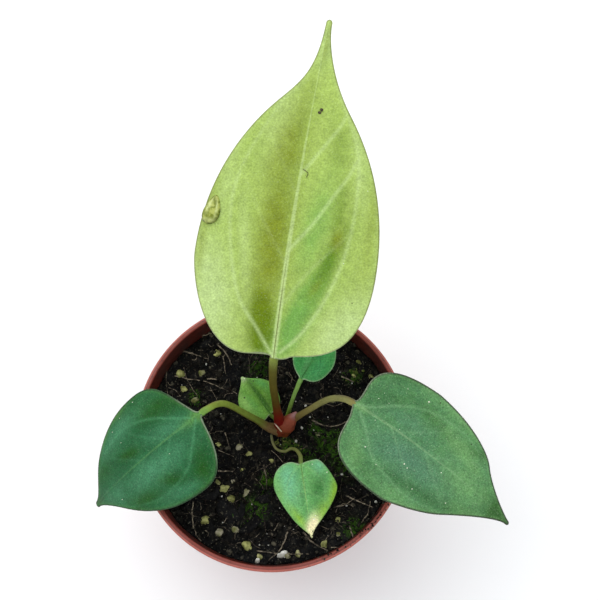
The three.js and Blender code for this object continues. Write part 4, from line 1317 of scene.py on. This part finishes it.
class SoilSettings(bpy.types.PropertyGroup):
    crumb_count: IntProperty(
        name="Crumbs", description="Number of crumbs raised from the soil", default=7000, min=0,
    )
    loose_count: IntProperty(
        name="Loose crumbs", description="Number of loose crumbs on the soil", default=1500, min=0,
    )
    fibre_count: IntProperty(name="Fibres", description="Number of fine roots and fibres", default=900, min=0)
    moss_count: IntProperty(
        name="Moss", description="Number of moss strands in a patch of 3 mm reach", default=90, min=0,
    )
    seed: IntProperty(name="Seed", description="Start of the random draws", default=11)


class LeafSettings(bpy.types.PropertyGroup):
    vein_depth: FloatProperty(
        name="Vein depth", description="Depth of the veins in millimetres", default=0.2, min=0,
    )
    roughness: FloatProperty(
        name="Roughness", description="Roughness of the blades' upper faces",
        subtype="FACTOR", default=0.55, min=0, max=1,
    )


class StageSettings(bpy.types.PropertyGroup):
    floor_colour: FloatVectorProperty(
        name="Floor", description="Colour of the floor",
        subtype="COLOR", default=(0.9, 0.9, 0.9), min=0, max=1,
    )
    light_power: FloatProperty(
        name="Light", description="Power of the large lamp", default=5.0, unit="POWER",
    )


class PlantSettings(bpy.types.PropertyGroup):
    pot: PointerProperty(type=PotSettings)
    soil: PointerProperty(type=SoilSettings)
    leaf: PointerProperty(type=LeafSettings)
    stage: PointerProperty(type=StageSettings)


# Operators


class PLANT_OT_pot(bpy.types.Operator):
    """Turned pot with its lip, foot ring and drainage holes"""

    bl_idname = "plant.make_pot"
    bl_label = "Pot"

    def execute(self, context):
        settings = context.scene.plant.pot
        groove = settings.groove / MM
        lip_foot = POT_HEIGHT - LIP_DEPTH
        mouth = RIM_RADIUS - LIP_WIDTH
        ring = FOOT_RADIUS - FOOT_RING
        raised = FOOT_RECESS + FLOOR
        middle = mouth + 0.55 * LIP_WIDTH
        taper = RIM_RADIUS - LIP_TAPER
        outer = [
            (0.01, 0), (PAD_RADIUS, 0), (PAD_RADIUS + FOOT_RECESS, FOOT_RECESS),
            (ring - FOOT_RECESS, FOOT_RECESS), (ring, 0), (FOOT_RADIUS - BEVEL, 0),
            (FOOT_RADIUS - 0.18, 0.18), (FOOT_RADIUS, BEVEL), (pot_bore(lip_foot) + WALL, lip_foot),
            (taper - BEVEL / 2, lip_foot), (taper - 0.08, lip_foot + 0.08), (taper, lip_foot + BEVEL / 2),
            (RIM_RADIUS, POT_HEIGHT - BEVEL), (RIM_RADIUS - 0.15, POT_HEIGHT - 0.17),
            (RIM_RADIUS - 0.5, POT_HEIGHT - 0.02), (middle + 0.25, POT_HEIGHT), (middle, POT_HEIGHT - groove),
            (middle - 0.25, POT_HEIGHT), (mouth + 0.3, POT_HEIGHT - 0.02), (mouth + 0.06, POT_HEIGHT - 0.15),
        ]
        inner = [
            (mouth, POT_HEIGHT - 0.45), (pot_bore(lip_foot), lip_foot),
            (pot_bore(raised + FLOOR), raised + FLOOR), (pot_bore(raised) - FLOOR, FLOOR),
            (ring + BEVEL, FLOOR), (ring - BEVEL, raised), (PAD_RADIUS + 1, raised),
            (PAD_RADIUS - BEVEL, FLOOR), (0.01, FLOOR),
        ]
        profile = np.array(outer + inner, float)
        turns = np.linspace(0, 2 * np.pi, POT_SIDES, endpoint=False)
        reach, height = profile[:, 0][:, None], profile[:, 1][:, None]
        points = np.stack([reach * np.cos(turns), reach * np.sin(turns), height + 0 * turns], -1)
        faces = grid_faces(len(profile), len(turns), wrap=True)
        faces.append(tuple(range(len(turns)))[::-1])
        start = (len(profile) - 1) * len(turns)
        faces.append(tuple(start + j for j in range(len(turns))))
        order = np.arange(len(profile))
        deepest = len(outer) - 4
        marks = {"inside": order >= len(outer), "groove": order == deepest, "inner_lip": order > deepest}
        marks = {key: np.repeat(values, len(turns)).astype(float) for key, values in marks.items()}
        material = pot_material(settings)
        piece = make_piece("pot_shell", points.reshape(-1, 3), faces, material, ["pot"], marks)
        drill_holes(piece)
        piece.data.shade_smooth()
        return {"FINISHED"}


def drill_holes(piece):
    """Cuts the drainage holes through the raised ring of the pot's base."""
    parts = []
    turns = np.linspace(0, 2 * np.pi, HOLE_SIDES, endpoint=False)
    for i in range(HOLE_COUNT):
        bearing = 2 * np.pi * i / HOLE_COUNT
        x, y = HOLE_CIRCLE * math.cos(bearing), HOLE_CIRCLE * math.sin(bearing)
        ring = np.column_stack([x + HOLE_RADIUS * np.cos(turns), y + HOLE_RADIUS * np.sin(turns), 0 * turns])
        rings = [ring + (0, 0, z) for z in DRILL_SPAN]
        caps = [tuple(range(HOLE_SIDES))[::-1], tuple(range(HOLE_SIDES, 2 * HOLE_SIDES))]
        faces = grid_faces(2, HOLE_SIDES, wrap=True) + caps
        parts.append((np.concatenate(rings), faces, {}))
    vertices, faces, _ = join_parts(parts)
    mesh = bpy.data.meshes.new("drills")
    mesh.from_pydata((vertices * MM).tolist(), [], faces)
    drills = bpy.data.objects.new("drills", mesh)
    bpy.context.scene.collection.objects.link(drills)
    cut = piece.modifiers.new("holes", "BOOLEAN")
    cut.operation, cut.solver, cut.object = "DIFFERENCE", "EXACT", drills
    graph = bpy.context.evaluated_depsgraph_get()
    finished = bpy.data.meshes.new_from_object(piece.evaluated_get(graph))
    piece.modifiers.clear()
    piece.data = finished
    bpy.data.objects.remove(drills)


class PLANT_OT_soil(bpy.types.Operator):
    """Crumbly soil with loose crumbs, bark, granules, perlite, fibres and moss"""

    bl_idname = "plant.make_soil"
    bl_label = "Soil"

    def execute(self, context):
        settings = context.scene.plant.soil
        vertices, faces, attributes, surface = soil_mesh(settings)
        peat = soil_material("damp peat", "040404", "211e17", 1.0)
        make_piece("soil_body", vertices, faces, peat, ["soil"], attributes)
        ground = ground_finder(surface)
        self.add_crumbs(settings, ground)
        self.add_bark(settings, ground)
        self.add_granules(settings, ground)
        self.add_fibres(settings, ground)
        self.add_moss(settings, ground)
        return {"FINISHED"}

    def add_crumbs(self, settings, ground):
        """Loose crumbs on the soil and a few on the front of the rim."""
        rng = np.random.default_rng(settings.seed + 1)
        parts = []
        for _ in range(settings.loose_count):
            x, y = random_place(rng, CRUMB_REACH)
            size = 0.2 + 0.7 * rng.random() ** 3
            points, faces = pebble(rng, (x, y, ground(x, y) + 0.2 * size), size, 1, 0.7, 0.9)
            parts.append((points, faces, {"tone": 1.1 * rng.random() ** 1.5}))
        for _ in range(RIM_CRUMBS):
            turn = math.radians(rng.normal(*RIM_CRUMB_BEARING))
            out = rng.uniform(*RIM_CRUMB_REACH)
            size = 0.12 + 0.3 * rng.random() ** 2
            low = 0.8 if out < RIM_RADIUS - LIP_WIDTH + 0.1 else 0
            place = (out * math.cos(turn), out * math.sin(turn), POT_HEIGHT - 0.1 + 0.4 * size - low)
            points, faces = pebble(rng, place, size, 1, 0.7, 0.8)
            parts.append((points, faces, {"tone": 0.4 + 0.6 * rng.random()}))
        crumbs = soil_material("loose crumbs", "060504", "4a463a")
        join_piece("soil_crumbs", parts, crumbs)

    def add_bark(self, settings, ground):
        """Slabs of bark at their places and small chips anywhere."""
        rng = np.random.default_rng(settings.seed + 5)
        parts = []
        for x, y, length, width, bearing in BARK:
            low = float(soil_height(x, y)) + 0.1
            points, faces = slab(rng, (x, y, low), length, width, 0.9, bearing)
            parts.append((points, faces, {"tone": 0.3 + 0.3 * rng.random()}))
        for _ in range(BARK_CHIPS):
            x, y = random_place(rng, SCATTER_REACH)
            length = 1.2 + 2.2 * rng.random() ** 2
            low = ground(x, y) - 0.1
            width, bearing = length * rng.uniform(0.2, 0.6), rng.uniform(0, 180)
            points, faces = slab(rng, (x, y, low), length, width, 0.3, bearing)
            parts.append((points, faces, {"tone": 0.2 + 0.8 * rng.random()}))
        bark = soil_material("bark flakes", "0b0a0b", "2c2822")
        join_piece("soil_bark", parts, bark)

    def add_granules(self, settings, ground):
        """Granules and larger perlite at their places, and fine perlite anywhere."""
        rng = np.random.default_rng(settings.seed + 2)
        parts = []
        for x, y, size in GRANULES:
            radius = 0.85 * GRANULE * size
            place = (x, y, soil_height(x, y) + 0.1 * radius)
            points, faces = pebble(rng, place, radius, 3, 0.8, 0.55)
            parts.append((points, faces, {"tone": rng.random()}))
        material = plain_material("ochre granules", "9a9a60", "54562a", 0.8, 420.0, 0.15, "86806e")
        join_piece("soil_granules", parts, material)
        places = list(PERLITE)
        for _ in range(FINE_PERLITE):
            places.append((*random_place(rng, SCATTER_REACH), 0.12 + 0.2 * rng.random() ** 2))
        parts = []
        for x, y, radius in places:
            points, faces = pebble(rng, (x, y, ground(x, y) + 0.4 * radius), radius, 2, 0.9, 0.5)
            parts.append((points, faces, {}))
        material = plain_material("white perlite", "c8c6be", "8c8a80", 0.6)
        join_piece("soil_perlite", parts, material)

    def add_fibres(self, settings, ground):
        """Twigs at their places, and fine roots and fibres anywhere."""
        rng = np.random.default_rng(settings.seed + 3)
        parts = []
        for twig in TWIGS:
            line = smooth_path([(x, y, 0) for x, y in twig], 5)[0]
            line[:, :2] += TWIG_KINK * rng.normal(size=(len(line), 2))
            line[:, 2] = [ground(x, y) for x, y, _ in line]
            for _ in range(2):
                line[1:-1, 2] = (line[:-2, 2] + line[1:-1, 2] + line[2:, 2]) / 3
            line[:, 2] += TWIG_LIFT
            radius = rng.uniform(0.16, 0.3)
            points, faces, _ = tube(line, np.linspace(radius, 0.5 * radius, len(line)), 6)
            parts.append((points, faces, {"tone": rng.uniform(0.85, 1.1)}))
        for _ in range(settings.fibre_count):
            x, y = random_place(rng, FIBRE_REACH)
            heading, bend = rng.random() * 2 * np.pi, rng.normal() * 0.8
            length = 2 + 8 * rng.random() ** 2
            radius = 0.04 + 0.09 * rng.random() ** 2
            line = []
            for _ in range(9):
                line.append((x, y, ground(x, y) + radius + 0.25))
                x += length / 8 * math.cos(heading)
                y += length / 8 * math.sin(heading)
                heading += bend / 4 + rng.normal() * 0.2
                if math.hypot(x, y) > SOIL_REACH:
                    break
            if len(line) < 4:
                continue
            path = np.array(line)
            path[1:-1, 2] = (path[:-2, 2] + path[1:-1, 2] + path[2:, 2]) / 3
            points, faces, _ = tube(path, np.full(len(path), radius), 5)
            parts.append((points, faces, {"tone": rng.random() ** 1.3}))
        fibre = soil_material("roots and fibres", "1c140f", "8a7e6c")
        join_piece("soil_fibres", parts, fibre)

    def add_moss(self, settings, ground):
        """Strands of moss, and lumps of algae at the crown and at the back right."""
        rng = np.random.default_rng(settings.seed + 4)
        parts = []
        for x, y, reach in MOSS:
            for _ in range(int(settings.moss_count * reach / 3)):
                px, py = x + 0.45 * reach * rng.normal(), y + 0.45 * reach * rng.normal()
                if math.hypot(px, py) > SOIL_REACH:
                    continue
                heading, rise, length = rng.random() * 2 * np.pi, rng.uniform(0.2, 1.2), rng.uniform(0.5, 1.5)
                steps = np.linspace(0, 1, 4)[:, None]
                way = np.array((math.cos(heading), math.sin(heading), rise)) * length
                sag = np.array((0, 0, 0.5 * length)) * steps ** 2
                line = np.array((px, py, ground(px, py) - 0.1)) + way * steps - sag
                points, faces, _ = tube(line, 0.09 * np.array((1, 1, 0.8, 0.4)), 4)
                parts.append((points, faces, {}))
        material = plain_material("moss", "3f6810", "1e380a", 0.8, 300.0, 0.15)
        join_piece("soil_moss", parts, material)
        parts = []
        for number in range(ALGAE_LUMPS):
            x, y = ALGAE_PLACE[0] + 1.9 * rng.normal(), ALGAE_PLACE[1] + 0.9 * rng.normal()
            if number >= CROWN_LUMPS:
                x, y = 0.7 * x + ALGAE_SHIFT[0], 1.2 * y + ALGAE_SHIFT[1]
            points, faces = pebble(rng, (x, y, soil_height(x, y) + 0.2), rng.uniform(0.25, 0.55), 1, 0.7, 0.8)
            parts.append((points, faces, {}))
        material = plain_material("pale algae", "626a30", "3a4418", 0.8, 500.0, 0.15)
        join_piece("crown_algae", parts, material)


class PLANT_OT_stalks(bpy.types.Operator):
    """The six leaf stalks"""

    bl_idname = "plant.make_stalks"
    bl_label = "Leaf stalks"

    def execute(self, context):
        for name in LEAVES:
            vertices, faces, attributes = stalk_mesh(name)
            fade = TALL_FADE if name == "tall" else STALK_FADE
            material = stalk_material(f"{name} stalk", STALK_TONES[name], fade)
            make_piece(f"{name}_stalk", vertices, faces, material, [f"{name}_petiole"], attributes)
        return {"FINISHED"}


class PLANT_OT_blades(bpy.types.Operator):
    """The six leaf blades with their veins, and the drop, hair and specks that lie on them"""

    bl_idname = "plant.make_blades"
    bl_label = "Leaf blades"

    def execute(self, context):
        settings = context.scene.plant.leaf
        for number, name in enumerate(LEAVES):
            vertices, faces, attributes = blade_mesh(name, settings)
            tones = {key: values[number] for key, values in BLADE_TONES.items()}
            material = blade_material(f"{name} blade", tones, settings)
            make_piece(f"{name}_leaf", vertices, faces, material, [f"{name}_blade"], attributes)
        vertices, faces, attributes = drop_mesh(*DROP)
        make_piece("water_drop", vertices, faces, water_material(), attributes=attributes)
        pale = plain_material("pale dust", "eef2dc", "d4dcc0", 0.6)
        dark = plain_material("dark dust", "2a2418", "4a4030", 0.7)
        self.add_specks("pale_specks", PALE_SPECKS, pale)
        self.add_specks("dark_specks", DARK_SPECKS, dark)
        return {"FINISHED"}

    def add_specks(self, name, places, material):
        """Specks at their places on the blades; the hair goes with the dark ones."""
        rng = np.random.default_rng(3)
        parts = []
        for leaf_name, specks in places.items():
            for along, across, radius in specks:
                place, face = blade_places(LEAVES[leaf_name], along, across)
                middle = place + face * (0.5 * BLADE_THICKNESS + 0.25 * radius)
                points, faces = pebble(rng, middle, radius, 1, 0.8, 0.5)
                parts.append((points, faces, {}))
        if name == "dark_specks":
            along, across = smooth_path(np.array(HAIR, float), 8)[0].T
            place, face = blade_places(LEAVES["tall"], along, across)
            parts.append((*tube(place + face * 0.5, np.full(len(along), 0.09), 6)[:2], {}))
        join_piece(name, parts, material)


class PLANT_OT_crown(bpy.types.Operator):
    """The short stem, the pointed scale leaf at its crown and the dry strip beside it"""

    bl_idname = "plant.make_crown"
    bl_label = "Stem and scale leaf"

    def execute(self, context):
        skin = stalk_material("stem skin", STEM_TONES)
        self.add_round("stem_body", "stem", STEM, skin, ribbed)
        skin = stalk_material("scale leaf", SCALE_LEAF_TONES)
        self.add_round("scale_leaf", "cataphyll", CATAPHYLL, skin, flattened)
        strip = smooth_path(PAPERY_STRIP, 10)[0]
        girth = np.interp(np.linspace(0, 1, len(strip)), (0, 0.3, 1), (0.06, 0.2, 0.16))
        vertices, faces, _ = tube(strip, girth, 10)
        material = plain_material("dry sheath", "c8b8a0", "a88c78", 0.5)
        make_piece("papery_strip", vertices, faces, material, ())
        return {"FINISHED"}

    def add_round(self, name, node, form, skin, section):
        """A tapering round piece along its points, in place of the solid of the given name, which it hides.
        """
        path, places = smooth_path(form["points"], STALK_STEPS)
        radii = np.interp(places, range(len(form["girth"])), form["girth"])
        vertices, faces, attributes = tube(path, radii, CROWN_SIDES, section)
        make_piece(name, vertices, faces, skin, [node], attributes)


class PLANT_OT_stage(bpy.types.Operator):
    """Floor, soft light and the camera"""

    bl_idname = "plant.make_stage"
    bl_label = "Stage"

    def execute(self, context):
        settings = context.scene.plant.stage
        scene = context.scene
        mesh = bpy.data.meshes.new("floor")
        corners = [(FLOOR_REACH * a, FLOOR_REACH * b, 0) for a, b in ((-1, -1), (1, -1), (1, 1), (-1, 1))]
        mesh.from_pydata(corners, [], [(0, 1, 2, 3)])
        floor = bpy.data.objects.new("floor", mesh)
        scene.collection.objects.link(floor)
        material, _, shader = new_material("floor")
        shader.inputs["Base Color"].default_value = (*settings.floor_colour, 1)
        shader.inputs["Roughness"].default_value = 0.9
        mesh.materials.append(material)
        world = bpy.data.worlds.new("studio")
        world.use_nodes = True
        sky = world.node_tree.nodes["Background"]
        sky.inputs["Color"].default_value = SKY_COLOUR
        sky.inputs["Strength"].default_value = 1.0
        scene.world = world
        lamp = bpy.data.lights.new("soft lamp", "AREA")
        lamp.shape, lamp.size, lamp.energy = "DISK", LAMP_SIZE, settings.light_power
        lamp_object = bpy.data.objects.new("soft lamp", lamp)
        lamp_object.location = LAMP_PLACE
        aim = lamp_object.location * -1
        lamp_object.rotation_euler = aim.to_track_quat("-Z", "Y").to_euler()
        scene.collection.objects.link(lamp_object)
        lens = bpy.data.cameras.new("camera")
        lens.lens = CAMERA_LENS
        camera = bpy.data.objects.new("camera", lens)
        camera.location = [value * MM for value in CAMERA_PLACE]
        camera.rotation_euler = (math.radians(CAMERA_TILT), 0, 0)
        scene.collection.objects.link(camera)
        scene.camera = camera
        scene.view_settings.view_transform = "Standard"
        return {"FINISHED"}


class PLANT_PT_panel(bpy.types.Panel):
    """Sizes, colours and pieces of the plant"""

    bl_idname = "PLANT_PT_panel"
    bl_label = "Potted Anthurium"
    bl_space_type = "VIEW_3D"
    bl_region_type = "UI"
    bl_category = "Plant"

    def draw(self, context):
        layout = self.layout
        for part in ("pot", "soil", "leaf", "stage"):
            settings = getattr(context.scene.plant, part)
            box = layout.box()
            for name in settings.__annotations__:
                box.prop(settings, name)
        for operator in OPERATORS:
            layout.operator(operator.bl_idname)


OPERATORS = (PLANT_OT_pot, PLANT_OT_soil, PLANT_OT_stalks, PLANT_OT_blades, PLANT_OT_crown, PLANT_OT_stage)
CLASSES = (PotSettings, SoilSettings, LeafSettings, StageSettings, PlantSettings, *OPERATORS, PLANT_PT_panel)


def register():
    for cls in CLASSES:
        bpy.utils.register_class(cls)
    bpy.types.Scene.plant = PointerProperty(type=PlantSettings)


def unregister():
    del bpy.types.Scene.plant
    for cls in reversed(CLASSES):
        bpy.utils.unregister_class(cls)


def main():
    register()
    bpy.ops.plant.make_stage()
    bpy.ops.plant.make_pot()
    bpy.ops.plant.make_soil()
    bpy.ops.plant.make_crown()
    bpy.ops.plant.make_stalks()
    bpy.ops.plant.make_blades()


if __name__ == "__main__":
    main()
